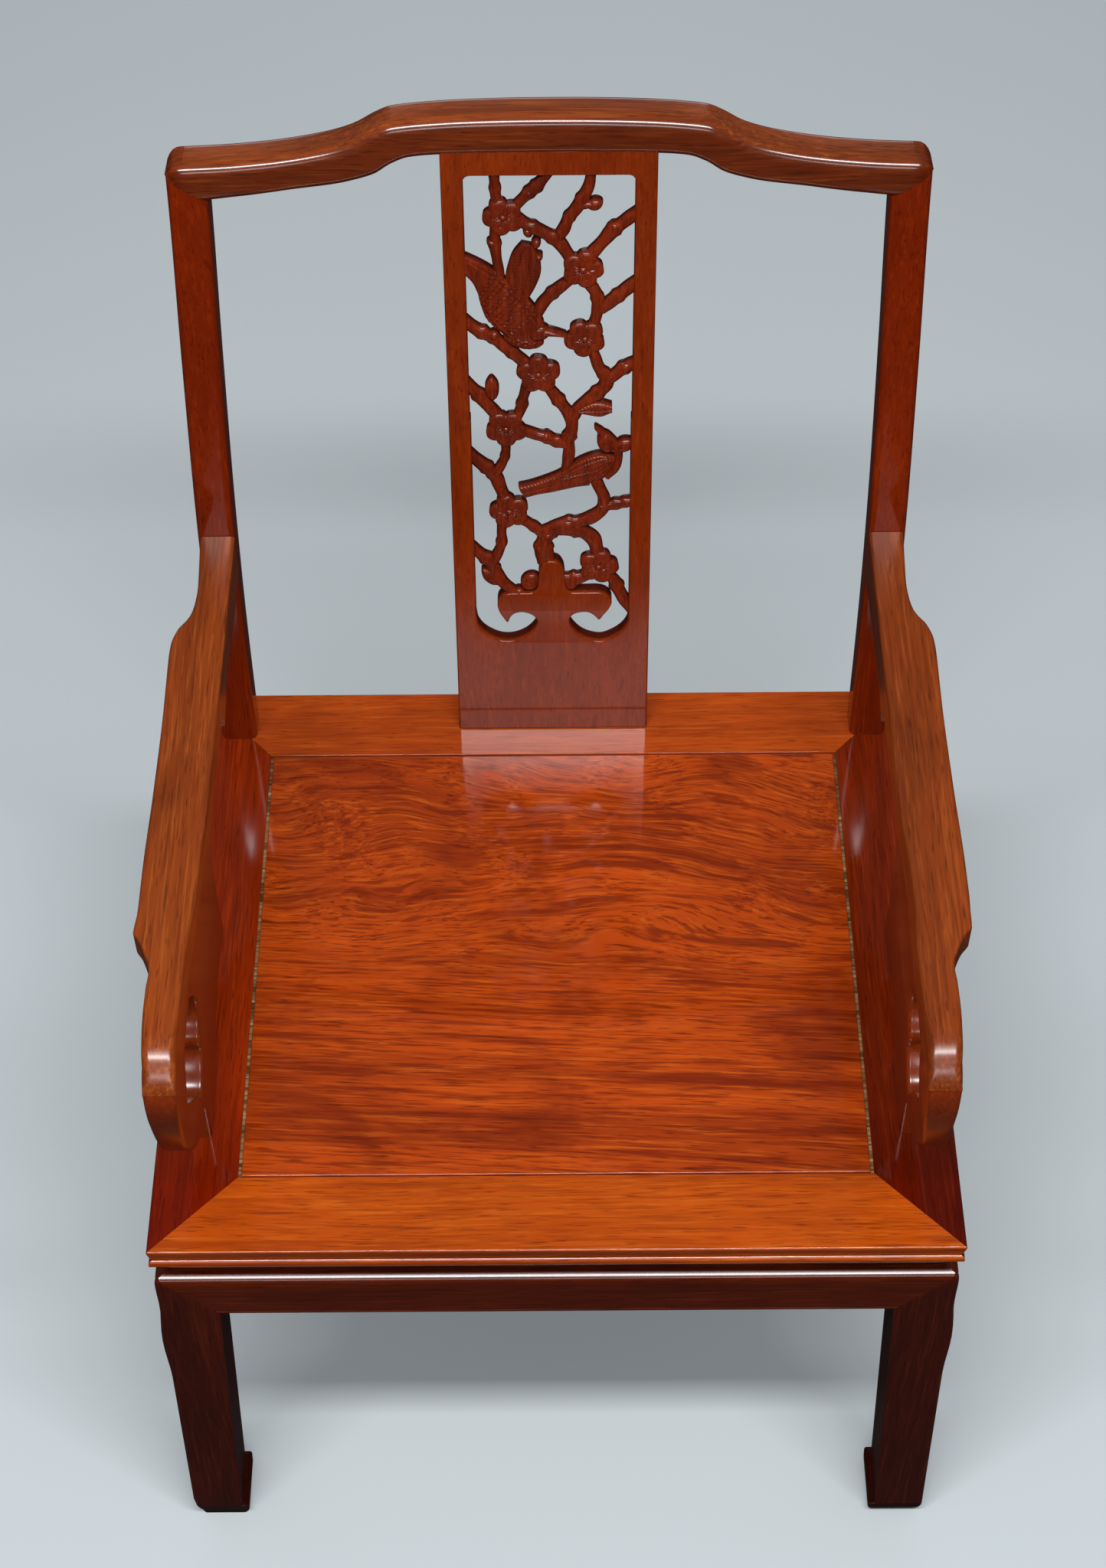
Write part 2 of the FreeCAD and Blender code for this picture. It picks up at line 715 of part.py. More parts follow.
POST_HEAD_SHARE = 480.0
MITRE_HEIGHT_SHARE = 480.5
MITRE_SLOPE_SHARE = 0.68
LOWER_RISE_SHARE = 0.507
LOWER_BEND_SHARE = 0.26
MIDDLE_BEND_SHARE = 0.477
END_RISE_SHARE = 1.073
END_BEND_SHARE = 0.28
LOWER_CONVERGENCE_SHARE = 0.14
ARM_CONVERGENCE_SHARE = 0.34
MIDDLE_CONVERGENCE_SHARE = 0.6
HEAD_CONVERGENCE_SHARE = 0.91
END_CONVERGENCE_SHARE = 0.99
CREST_TENON_HEIGHT_SHARE = 2.1
ARM_TENON_DROP_SHARE = 1.3
head_rise = back_unit * POST_HEAD_SHARE
head_bend = splat_setback - post_setback + head_rise * (LEAN_SIN / LEAN_COS) - S.crest_proud * (1 / LEAN_COS)
middle_rise = (S.arm_height + head_rise) / 2
middle_bend = (S.post_arm_bend + head_bend) * MIDDLE_BEND_SHARE
mitre_inner = post_half_gap - S.post_convergence * HEAD_CONVERGENCE_SHARE
POST_SECTIONS = (
    (ZERO, ZERO, 0),
    (S.arm_height * LOWER_RISE_SHARE, S.post_arm_bend * LOWER_BEND_SHARE, LOWER_CONVERGENCE_SHARE),
    (S.arm_height, S.post_arm_bend, ARM_CONVERGENCE_SHARE),
    (middle_rise, middle_bend, MIDDLE_CONVERGENCE_SHARE),
    (head_rise, head_bend, HEAD_CONVERGENCE_SHARE),
    (head_rise * END_RISE_SHARE, head_bend + (head_bend - middle_bend) * END_BEND_SHARE,
     END_CONVERGENCE_SHARE),
)


def mitre_point(distance, side):
    """A point of the mitre line at a distance out from its inner corner."""
    return (mitre_inner + distance) * side, back_unit * MITRE_HEIGHT_SHARE + distance * MITRE_SLOPE_SHARE


posts = {}
crest_mortises = []
for name, side in (("left", -1), ("right", 1)):
    body = new_body(name + "_post_body")
    sections = []
    for index, (rise, bend, converge) in enumerate(POST_SECTIONS):
        inner = post_half_gap - S.post_convergence * converge
        low_x, extent_x = span(inner * side, (inner + S.post_width) * side)
        low_y = post_front + bend
        points = rounded_corners(low_x, low_x + extent_x, low_y, low_y + S.post_width, S.post_round)
        sections.append(outline(body, f"{name}_post_section_{index}", "XY_Plane", [points], seat_top + rise))
    loft = body.newObject("PartDesign::AdditiveLoft", name + "_post_loft")
    loft.Profile = sections[0]
    loft.Sections = sections[1:]
    more = S.leg_width
    block = leaned(new_body(name + "_mitre_block"), ZERO, ZERO, ZERO)
    inner = mitre_point(-more, side)
    outer = mitre_point(more, side)
    wire = [inner, outer, (outer[0], outer[1] + more), (inner[0], outer[1] + more)]
    sketch = outline(block, name + "_mitre_outline", "XZ_Plane", [wire], S.seat_height / 4)
    pad(block, name + "_mitre_pad", sketch, S.seat_height / 2, reverse=True)
    tenon = leaned(doc.addObject("Part::Box", name + "_post_head_tenon"), ZERO, ZERO, ZERO)
    half = S.crest_tenon_width / 2
    low_x, extent_x = span((mitre_inner + half) * side, (mitre_inner + half * 3) * side)
    low_n = S.crest_depth / 2 - S.crest_proud - half
    low_v = back_unit * MITRE_HEIGHT_SHARE - half
    height = S.crest_tenon_width * CREST_TENON_HEIGHT_SHARE
    leaned(tenon, low_x, low_n, low_v)
    mortise = leaned(doc.addObject("Part::Box", name + "_crest_mortise"), low_x - S.joint_clearance,
                     low_n - S.joint_clearance, low_v - S.cut_overrun)
    for item, grow, taller in ((tenon, ZERO, ZERO),
                               (mortise, S.joint_clearance, S.cut_overrun + S.mortise_extra_depth)):
        item.setExpression("Length", (extent_x + grow * 2).text)
        item.setExpression("Width", (S.crest_tenon_width + grow * 2).text)
        item.setExpression("Height", (height + taller).text)
    crest_mortises.append(mortise)
    arm_inset = (S.post_width - S.arm_tenon_width) / 2
    arm_near = post_half_gap + arm_inset - S.post_convergence * ARM_CONVERGENCE_SHARE
    low_x, extent_x = span(arm_near * side, (arm_near + S.arm_tenon_width) * side)
    arm_corner = (low_x, post_front + S.post_arm_bend - S.arm_tenon_length,
                  seat_top + S.arm_height - S.arm_tenon_height * ARM_TENON_DROP_SHARE)
    arm_extent = (extent_x, S.arm_tenon_length * 2, S.arm_tenon_height)
    backward = (NO_EXTRA, (S.cut_overrun, S.mortise_extra_depth), NO_EXTRA)
    arm_mortise = grown_box(name + "_arm_mortise", arm_corner, arm_extent, S.joint_clearance, backward)
    arm_tenon = box(name + "_arm_tenon", arm_corner, arm_extent)
    trimmed = cut(name + "_post_trimmed", body, [block, arm_mortise])
    post = doc.addObject("Part::MultiFuse", name + "_back_post")
    post.Shapes = [trimmed, post_tenons[name], tenon]
    post.Label = name + "_back_post"
    keep(post)
    posts[name] = (post, arm_tenon)

# Crest rail: half of its sections as x in 226ths of half the gap between the posts' heads,
# then underside and top as the back's heights
CREST_SPAN_SHARE = 1 / 226
crest_unit = mitre_inner * CREST_SPAN_SHARE
CREST_SHARES = ((0.0, 514.4, 543.1), (20.0, 514.3, 543.0), (40.0, 514.1, 542.6), (60.0, 513.8, 541.9),
                (78.0, 513.1, 540.8), (92.0, 511.6, 539.5), (104.0, 506.7, 537.7), (115.0, 499.4, 532.9),
                (127.0, 495.3, 525.8), (140.0, 492.2, 521.1), (154.0, 490.1, 517.7), (168.0, 488.3, 515.1),
                (183.0, 486.0, 512.9), (197.0, 484.0, 511.4), (212.0, 482.2, 510.1), (226.0, 480.5, 509.3),
                (240.0, 479.1, 508.7), (252.5, 478.0, 508.2))
CREST_CORNER_SHARE = 1.0
CREST_CORNER_FLAT_SHARE = 0.35
crest_body = leaned(new_body("crest_body"), ZERO, ZERO, ZERO)
crest_sections = []
halves = [(-x, low, high) for x, low, high in reversed(CREST_SHARES)] + list(CREST_SHARES[1:])
for index, (x, low, high) in enumerate(halves):
    points = rounded_corners(-S.crest_proud, S.crest_depth - S.crest_proud, back_unit * low, back_unit * high,
                             S.crest_round)
    crest_sections.append(outline(crest_body, f"crest_section_{index}", "YZ_Plane", [points], crest_unit * x))
crest_loft = crest_body.newObject("PartDesign::AdditiveLoft", "crest_loft")
crest_loft.Profile = crest_sections[0]
crest_loft.Sections = crest_sections[1:]
for name, side in (("left", -1), ("right", 1)):
    more = S.leg_width
    inner = mitre_point(-more, side)
    outer = mitre_point(more, side)
    wire = [inner, outer, (outer[0], inner[1])]
    sketch = outline(crest_body, name + "_crest_mitre", "XZ_Plane", [wire], S.seat_height / 4)
    cut_through(crest_body, name + "_crest_mitre_cut", sketch)
    edge = crest_unit * CREST_SHARES[-1][0]
    top = back_unit * CREST_SHARES[-1][2]
    corner = S.crest_round * CREST_CORNER_SHARE
    flat = corner * CREST_CORNER_FLAT_SHARE
    past = S.cut_overrun
    wire = [((edge + past) * side, top + past), ((edge - corner) * side, top + past),
            ((edge - corner) * side, top), ((edge - flat) * side, top - flat),
            (edge * side, top - corner), ((edge + past) * side, top - corner)]
    sketch = outline(crest_body, name + "_crest_corner", "XZ_Plane", [wire], S.seat_height / 4)
    cut_through(crest_body, name + "_crest_corner_cut", sketch)
crest_slot = leaned(doc.addObject("Part::Box", "crest_slot"), -(S.splat_width / 2) - S.joint_clearance,
                    -S.joint_clearance, splat_top - S.splat_housing * 2)
crest_slot.setExpression("Length", (S.splat_width + S.joint_clearance * 2).text)
crest_slot.setExpression("Width", (S.splat_thickness + S.joint_clearance * 2).text)
crest_slot.setExpression("Height", (S.splat_housing * 2 + S.mortise_extra_depth).text)
keep(cut("crest_rail", crest_body, [crest_slot, *crest_mortises]))

# Splat: a board with a shaped opening, and the carving that fills it
OPENING_SHARES = ((-57.5, 115), (-55, 105), (-48, 97), (-40, 92.5), (-30, 92), (-20, 98), (-12, 108), (-12, 112),
                  (12, 112), (15, 105), (26, 94), (36, 91), (44, 95), (54, 102), (57.5, 112), (57.5, 493),
                  (51.5, 499), (-51.5, 499), (-57.5, 493))
HEAD_SHARES = ((-12, 116), (-22, 120.5), (-30, 118), (-34, 111), (-38, 118), (-40, 124), (-40, 132), (-36, 138),
               (-28, 139), (-10, 141), (10, 141), (30, 139.5), (38, 140), (43, 135), (44, 128), (40, 120),
               (37, 118), (34, 113), (30, 117), (24, 120), (12, 116))
TRUNK_SHARES = ((-11, 95), (10, 95), (9, 135), (9, 160), (5, 169), (-4, 169), (-9, 160), (-10, 135))
BIRD_SHARES = (
    ((-60, 437), (-40, 427), (-30, 418), (-15, 403), (-5, 389), (3, 380), (8, 374), (0, 369), (-10, 366),
     (-22, 362), (-30, 368), (-38, 378), (-44, 388), (-47, 400), (-50, 412), (-60, 423)),
    ((-29, 443), (-30, 425), (-27, 412), (-14, 402), (-8, 416), (-5, 428), (-6, 438), (-10, 447)),
    ((-23, 240), (-10, 246), (0, 250), (10, 256), (20, 264), (28, 270), (33, 276), (35, 288), (43, 291),
     (50, 284), (49, 262), (46, 255), (38, 248), (30, 244), (20, 241), (5, 238), (-5, 233), (-17, 231)),
    ((18, 304), (26, 302), (34, 303), (45, 309), (34, 315), (26, 316), (18, 314)),
)
BLOSSOM_SHARES = ((-32, 467), (21, 426), (24, 368), (-8, 339), (-32, 292), (-30, 218), (35, 165))
BUD_SHARES = ((31, 477, 5), (-13, 455, 5), (-8, 446, 5), (-41, 330, 8), (52, 278, 6), (-48, 155, 7), (14, 153, 6))
BLOSSOM_RADIUS_SHARE = 13.5
PETAL_DIP_SHARE = 0.12
BRANCH_SHARES = (
    (6, ((-35, 503), (-35, 478))),
    (7, ((0, 503), (-10, 490), (-18, 483), (-22, 475))),
    (7, ((28, 503), (28, 490), (22, 480), (12, 464), (5, 452), (-4, 451))),
    (6, ((20, 476), (31, 477))),
    (7, ((-24, 470), (-16, 462), (-8, 455), (2, 451), (8, 446), (13, 436))),
    (9, ((61, 476), (50, 466), (43, 458), (38, 448), (30, 438))),
    (7, ((-36, 456), (-38, 440), (-36, 428), (-31, 416))),
    (8, ((61, 421), (48, 405), (40, 398), (30, 382))),
    (7, ((26, 416), (34, 400), (33, 388))),
    (7, ((14, 418), (4, 410), (-2, 403), (-8, 391))),
    (9, ((-61, 388), (-48, 378), (-40, 372), (-34, 364), (-28, 358), (-16, 347))),
    (7, ((30, 364), (32, 350), (36, 342), (40, 336), (38, 328), (30, 322), (24, 314), (18, 306))),
    (7, ((38, 334), (45, 340), (51, 346), (61, 352))),
    (9, ((-2, 330), (5, 316), (10, 308), (15, 300), (13, 282), (14, 270), (11, 254))),
    (8, ((-61, 336), (-52, 326), (-48, 316), (-40, 304))),
    (5, ((-41, 324), (-43, 310))),
    (8, ((-14, 326), (-20, 312), (-25, 300))),
    (8, ((-22, 289), (-10, 285), (-3, 284), (5, 280), (16, 275))),
    (9, ((-61, 274), (-50, 264), (-44, 256), (-40, 248), (-38, 240), (-33, 226))),
    (6, ((-34, 282), (-33, 268), (-36, 258), (-43, 248))),
    (9, ((30, 248), (36, 238), (40, 226), (36, 216), (28, 210), (18, 206), (8, 204), (0, 199), (-5, 192),
         (-7, 178), (-4, 162))),
    (8, ((38, 222), (50, 226), (61, 229))),
    (8, ((-22, 210), (-12, 203), (-8, 195))),
    (9, ((2, 201), (15, 200), (25, 198), (31, 190), (34, 174))),
    (9, ((-61, 188), (-52, 178), (-44, 168), (-42, 160), (-36, 150), (-22, 148), (-5, 155))),
    (8, ((-36, 210), (-38, 195), (-36, 185), (-42, 168))),
    (8, ((40, 158), (46, 150), (50, 142), (61, 124))),
    (8, ((4, 154), (14, 152), (28, 158))),
    (9, ((8, 134), (15, 144), (13, 152))),
)
splat_body = leaned(new_body("splat_body"), ZERO, ZERO, ZERO)
half = S.splat_width / 2
board = [(-half, -S.splat_housing), (half, -S.splat_housing), (half, splat_top), (-half, splat_top)]
hole = [(splat_unit * x, back_unit * v) for x, v in OPENING_SHARES]
splat_outline = outline(splat_body, "splat_outline", "XZ_Plane", [board, hole])
pad(splat_body, "splat_pad", splat_outline, S.splat_thickness, reverse=True)


def flat_face(points):
    """A flat face in the leaning plane, from points given as the back's shares."""
    corners = [Vector(x * splat_unit.value, 0, v * back_unit.value) for x, v in points]
    return Part.Face(Part.makePolygon(corners + corners[:1]))


def ribbon(width, points):
    """Outline of a band of even width along a bent centre line."""
    left = []
    right = []
    for i, (x, v) in enumerate(points):
        before = points[max(i - 1, 0)]
        after = points[min(i + 1, len(points) - 1)]
        dx = after[0] - before[0]
        dv = after[1] - before[1]
        length = math.hypot(dx, dv)
        nx = -dv / length * width / 2
        nv = dx / length * width / 2
        left.append((x + nx, v + nv))
        right.append((x - nx, v - nv))
    return left + right[::-1]


def blossom(x, v, radius, turn):
    """Outline of a five-petalled flower."""
    points = []
    for step in range(20):
        angle = math.radians(18 * step + turn)
        reach = radius * (1 - PETAL_DIP_SHARE + PETAL_DIP_SHARE * math.cos(5 * angle - math.radians(5 * turn)))
        points.append((x + reach * math.cos(angle), v + reach * math.sin(angle)))
    return points


faces = [flat_face(HEAD_SHARES), flat_face(TRUNK_SHARES)]
faces += [flat_face(points) for points in BIRD_SHARES]
faces += [flat_face(ribbon(width, points)) for width, points in BRANCH_SHARES]
for number, (x, v) in enumerate(BLOSSOM_SHARES):
    faces.append(flat_face(blossom(x, v, BLOSSOM_RADIUS_SHARE, 90 + 25 * number)))
for x, v, radius in BUD_SHARES:
    turns = [math.radians(45 * step) for step in range(8)]
    faces.append(flat_face([(x + radius * math.cos(turn), v + radius * math.sin(turn)) for turn in turns]))
flat = faces[0].multiFuse(faces[1:]).removeSplitter()
thickness = S.splat_thickness.value - S.carving_inset.value * 2
relief = flat.extrude(Vector(0, thickness, 0))
carving = shape_node("splat_carving", relief)
leaned(carving, ZERO, S.carving_inset, ZERO)
splat = doc.addObject("Part::MultiFuse", "back_splat")
splat.Shapes = [splat_body, carving]
splat.Label = "back_splat"
keep(splat)

# Arms: plan outline cut to the side outline.  The plan's x is counted inwards from the seat's side.
ARM_PLAN_SHARES = ((24.5, 469), (26, 436), (26.7, 416), (24.1, 392), (20, 382), (15.5, 375), (12.4, 364),
                   (11.4, 351), (12, 293), (11.4, 231), (10, 163), (10, 132), (8.6, 114), (13.1, 107),
                   (17.7, 96), (21, 88), (21.5, 82), (20.6, 72), (20.4, 52), (21.2, 28), (22.4, 1),
                   (43.6, 1), (43, 28), (44, 60), (44.5, 100), (46.5, 131), (48.1, 186), (49.3, 205),
                   (50, 469))
ARM_TOP_SHARES = ((465.4, 217), (50, 217), (38, 216.7), (28, 215.6), (21, 213), (15, 209), (8, 202.5), (3.4, 195))
ARM_UNDER_SHARES = ((318, 195), (318, 178.5), (330, 182), (345, 185.5), (362, 186), (380, 184.6), (420, 181),
                    (445, 178.8), (461.2, 177.5))
SUPPORT_SHARES = ((91, 0), (91, 38), (88, 44), (82, 47), (72, 47), (62, 50), (50, 60), (41, 68), (30, 85),
                  (22, 100), (16, 115), (10, 134), (5, 154), (2.5, 166), (1.4, 178), (1.6, 188), (3.4, 195),
                  (318, 195), (318, 178.5), (310, 175.6), (297, 171), (285, 165), (273, 155), (262, 140),
                  (255, 125), (250, 107), (248, 88), (247, 66), (249, 40), (247, 34.5), (243, 32.5), (237, 33),
                  (215, 35), (195, 36), (184, 34.6), (175, 32), (165, 27), (157, 20), (152, 11), (150, 0))
TEAR_SHARES = ((89, 60), (112, 76), (111, 92), (120, 100), (126, 108), (126, 119), (122, 130), (108, 148),
               (96, 160), (88, 166), (77, 170), (68, 166), (61, 158), (50, 145), (44, 133), (46, 120),
               (54, 106), (64, 93), (78, 76))


def side_points(points):
    """Points of a side view, from the arms' shares."""
    return [(front + reach_unit * y, seat_top + rise_unit * z) for y, z in points]


for name, side in (("left", -1), ("right", 1)):
    body = new_body(name + "_arm_body")
    plan = [((half_width - across_unit * x) * side, front + reach_unit * y) for x, y in ARM_PLAN_SHARES]
    sketch = outline(body, name + "_arm_plan", "XY_Plane", [plan], seat_top)
    pad(body, name + "_arm_height", sketch, S.arm_height)
    more = S.leg_width
    ring = [(front - more, seat_top - more), (back + more, seat_top - more),
            (back + more, seat_top + S.arm_height + more), (front - more, seat_top + S.arm_height + more)]
    profile = side_points(ARM_TOP_SHARES) + side_points(ARM_UNDER_SHARES)
    sketch = outline(body, name + "_arm_side", "YZ_Plane", [ring, profile], S.seat_width)
    cut_through(body, name + "_arm_side_cut", sketch)
    grooved = cut(name + "_arm_grooved", body, [arm_grooves[name]])
    arm = doc.addObject("Part::MultiFuse", name + "_arm")
    arm.Shapes = [grooved, posts[name][1]]
    arm.Label = name + "_arm"
    keep(arm)
    body = new_body(name + "_support_body")
    near, extent = span(support_inner * side, (support_inner + S.support_thickness) * side)
    wires = [side_points(SUPPORT_SHARES), side_points(TEAR_SHARES)]
    sketch = outline(body, name + "_support_outline", "YZ_Plane", wires, near)
    pad(body, name + "_support_pad", sketch, extent)
    support = doc.addObject("Part::MultiFuse", name + "_arm_support")
    support.Shapes = [body, support_tenons[name], support_tongues[name]]
    support.Label = name + "_arm_support"
    keep(support)

doc.recompute()
faults = [item.Label for item in doc.Objects if "Invalid" in item.State or "Error" in item.State]
if faults:
    raise RuntimeError("features not solved: " + ", ".join(faults))
low = Vector(1e9, 1e9, 1e9)
high = -low
for node in NODES:
    shape = node.Shape
    if shape.isNull() or not shape.isValid() or len(shape.Solids) != 1:
        raise RuntimeError(f"{node.Label} has no single valid solid")
    shape.exportStep("parts/" + node.Label + ".step")
    bounds = shape.BoundBox
    low = Vector(min(low.x, bounds.XMin), min(low.y, bounds.YMin), min(low.z, bounds.ZMin))
    high = Vector(max(high.x, bounds.XMax), max(high.y, bounds.YMax), max(high.z, bounds.ZMax))
print(len(NODES), "nodes, from", tuple(round(v, 2) for v in low), "to", tuple(round(v, 2) for v in high))
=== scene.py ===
"""Looks of a lacquered hardwood armchair with a pierced, carved splat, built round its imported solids.

Shapes are worked out in millimetres in the chair's own places: x to the right of the middle, y back
from the seat's front edge, z up from the top of the seat.  They are turned into metres in the row's
frame when a mesh is made.
"""

import logging
import math
from dataclasses import dataclass, field
from enum import Enum
from functools import cache

import bmesh
import bpy
import numpy as np
from mathutils import Matrix, Vector
from numpy.typing import NDArray


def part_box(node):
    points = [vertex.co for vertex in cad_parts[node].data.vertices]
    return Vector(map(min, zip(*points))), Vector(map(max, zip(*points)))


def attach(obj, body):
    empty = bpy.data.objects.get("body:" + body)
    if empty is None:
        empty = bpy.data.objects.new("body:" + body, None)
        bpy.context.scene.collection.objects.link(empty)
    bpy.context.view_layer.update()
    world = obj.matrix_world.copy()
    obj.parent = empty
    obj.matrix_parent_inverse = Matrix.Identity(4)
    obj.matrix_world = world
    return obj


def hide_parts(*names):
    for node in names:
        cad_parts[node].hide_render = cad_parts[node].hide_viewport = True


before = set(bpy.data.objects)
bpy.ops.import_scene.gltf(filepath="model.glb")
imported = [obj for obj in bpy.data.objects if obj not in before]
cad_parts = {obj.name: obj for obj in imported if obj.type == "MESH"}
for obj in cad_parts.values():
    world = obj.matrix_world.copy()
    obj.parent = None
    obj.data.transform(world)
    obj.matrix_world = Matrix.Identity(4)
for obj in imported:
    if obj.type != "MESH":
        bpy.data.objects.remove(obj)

log = logging.getLogger("armchair")
Array = NDArray[np.float64]
Point = tuple[float, float]
Triple = tuple[float, float, float]
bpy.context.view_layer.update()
METRES_PER_MM = 0.001
# the back's angle from upright
LEAN = math.radians(6.92)


class Cap(Enum):
    """How the two ends of a skin are closed."""

    STRIP = "strip"
    FACE = "face"
    POLE = "pole"


class Grain(Enum):
    """The row axis that the wood's fibres follow."""

    ACROSS = (0.0, 0.0, 0.0)
    DEEP = (0.0, 0.0, -math.pi / 2)
    UPRIGHT = (0.0, math.pi / 2, 0.0)


@dataclass(frozen=True)
class Datum:
    """Main places of the chair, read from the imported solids, in metres."""

    front: float
    seat_top: float
    half_width: float
    depth: float

    @staticmethod
    def from_frame() -> "Datum":
        """Returns: the datum measured on the seat's rails."""
        low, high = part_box("seat_left_rail")
        return Datum(low.y, high.z, -low.x, high.y - low.y)

    def row(self, points: Array) -> Array:
        """Chair millimetres to row metres.

        Args:
            points: places in the chair's millimetres, in an array whose last axis is x, y, z.
        Returns: the same places in metres in the row's frame.
        """
        return points * METRES_PER_MM + np.array([0.0, self.front, self.seat_top])


DATUM = Datum.from_frame()
SEAT_HALF = DATUM.half_width / METRES_PER_MM
SEAT_DEPTH = DATUM.depth / METRES_PER_MM
FLOOR_Z = -DATUM.seat_top / METRES_PER_MM
# distance of the splat's face behind the seat's front edge, where it meets the seat
SPLAT_SETBACK = 462.7
BEHIND_BACK = (0.0, math.cos(LEAN), -math.sin(LEAN))


def lean_back(x: Array, height: Array, behind: Array) -> Array:
    """Places in the plane of the leaning back.

    The plane passes through the splat's face.  y is the setback plus the height times the sine of the
    lean plus the depth behind the face times its cosine; z is the height times the cosine less the
    depth times the sine.

    Args:
        x: distance right of the middle, in mm.
        height: distance up along the back from the seat, in mm.
        behind: depth behind the splat's face, in mm.
    Returns: chair millimetres with a last axis of x, y, z.
    """
    x, height, behind = np.broadcast_arrays(x, height, behind)
    y = SPLAT_SETBACK + height * math.sin(LEAN) + behind * math.cos(LEAN)
    z = height * math.cos(LEAN) - behind * math.sin(LEAN)
    return np.stack([x, y, z], axis=-1)


def cubic(s: Array, length: Array, start: Array, slope: Array, end: Array, end_slope: Array) -> Array:
    """A cubic span, from its ends and their slopes.

    Args:
        s: place in the span, from 0 to 1.
        length: the span's length.
        start: value at its start.
        slope: slope there.
        end: value at its end.
        end_slope: slope there.
    Returns: the values at s.
    """
    return ((2 * s**3 - 3 * s**2 + 1) * start + (s**3 - 2 * s**2 + s) * length * slope
            + (3 * s**2 - 2 * s**3) * end + (s**3 - s**2) * length * end_slope)


def smooth_line(points: list[Point], count: int, closed: bool = False) -> Array:
    """Samples a smooth line through points, evenly along its length.

    Each span is a cubic whose slope at a point is the chord between that point's neighbours divided
    by the distance along the line between them.

    Args:
        points: the places the line passes through.
        count: number of samples.
        closed: whether the line returns to its start.
    Returns: array of count rows.
    """
    knots = np.asarray(points, float)
    if closed:
        knots = np.vstack([knots, knots[:1]])
        around = np.vstack([knots[-2:-1], knots, knots[1:2]])
    else:
        around = np.vstack([2 * knots[0] - knots[1], knots, 2 * knots[-1] - knots[-2]])
    steps = np.linalg.norm(np.diff(around, axis=0), axis=1)
    slopes = (around[2:] - around[:-2]) / (steps[1:] + steps[:-1])[:, None]
    along = np.concatenate([[0.0], np.cumsum(steps[1:-1])])
    at = np.linspace(0.0, along[-1], count, endpoint=not closed)
    span = np.clip(np.searchsorted(along, at, "right") - 1, 0, len(along) - 2)
    length = (along[span + 1] - along[span])[:, None]
    s = (at[:, None] - along[span][:, None]) / length
    return cubic(s, length, knots[span], slopes[span], knots[span + 1], slopes[span + 1])


def graph(points: list[Point], at: Array) -> Array:
    """Values of a smooth curve through points whose first number rises.

    Cubic spans, with the slope at each point the harmonic mean of the chords on its two sides, or
    zero where the chords change sign, so the curve never overshoots.

    Args:
        points: pairs of place and value, in order of rising place.
        at: the places to read.
    Returns: the curve's values.
    """
    place, value = np.asarray(points, float).T
    step = np.diff(place)
    chord = np.diff(value) / step
    both = chord[1:] + chord[:-1]
    product = chord[1:] * chord[:-1]
    inner = np.where(product > 0, 2 * chord[1:] * chord[:-1] / np.where(both == 0, 1, both), 0)
    slope = np.concatenate([[chord[0]], inner, [chord[-1]]])
    at = np.clip(at, place[0], place[-1])
    span = np.clip(np.searchsorted(place, at, "right") - 1, 0, len(step) - 1)
    s = (at - place[span]) / step[span]
    return cubic(s, step[span], value[span], slope[span], value[span + 1], slope[span + 1])


def ease(value: Array) -> Array:
    """Smooth rise from 0 to 1.

    Args:
        value: how far through the rise, from 0 to 1; values beyond stay at the ends.
    Returns: the share risen.
    """
    value = np.clip(value, 0.0, 1.0)
    return value * value * (3.0 - 2.0 * value)


def risen(value: Array, zone: Point) -> Array:
    """Smooth rise from 0 to 1 across a zone.

    Args:
        value: the values that cross it.
        zone: where the rise starts and ends.
    Returns: the share risen.
    """
    return ease((value - zone[0]) / (zone[1] - zone[0]))


def fallen(value: Array, zone: Point) -> Array:
    """Smooth fall from 1 to 0 across a zone.

    Args:
        value: the values that cross it.
        zone: where the fall starts and ends.
    Returns: the share left.
    """
    return ease((zone[1] - value) / (zone[1] - zone[0]))


def round_corners(points: list[Point], radii: list[float], steps: int = 4) -> Array:
    """Rounds each corner of a closed outline with an exact arc.

    A corner's arc is a conic through its two tangent points with the corner as control point and the
    sine of half the corner's angle as weight, which makes it a circle's arc.

    Args:
        points: corners in order.
        radii: one radius for each corner.
        steps: spans in each arc.
    Returns: the rounded outline's points.
    """
    corner = np.asarray(points, float)
    before = np.roll(corner, 1, axis=0) - corner
    after = np.roll(corner, -1, axis=0) - corner
    to_before = before / np.linalg.norm(before, axis=1, keepdims=True)
    to_after = after / np.linalg.norm(after, axis=1, keepdims=True)
    half = np.arccos(np.clip((to_before * to_after).sum(1), -0.9999, 0.9999)) / 2
    reach = (np.asarray(radii) / np.tan(half))[:, None]
    start = corner + to_before * reach
    end = corner + to_after * reach
    s = np.linspace(0, 1, steps + 1)[None, :, None]
    weight = np.sin(half)[:, None, None]
    share = (1 - s)**2 + 2 * weight * s * (1 - s) + s**2
    arc = (1 - s)**2 * start[:, None] + 2 * weight * s * (1 - s) * corner[:, None] + s**2 * end[:, None]
    return (arc / share).reshape(-1, 2)


ARC_STEPS = 5
FLAT_SHARES = np.array([0.04, 0.12, 0.5, 0.88, 0.96])
RING_CORNERS = ((1, -1, -math.pi / 2), (1, 1, 0.0), (-1, 1, math.pi / 2), (-1, -1, math.pi))


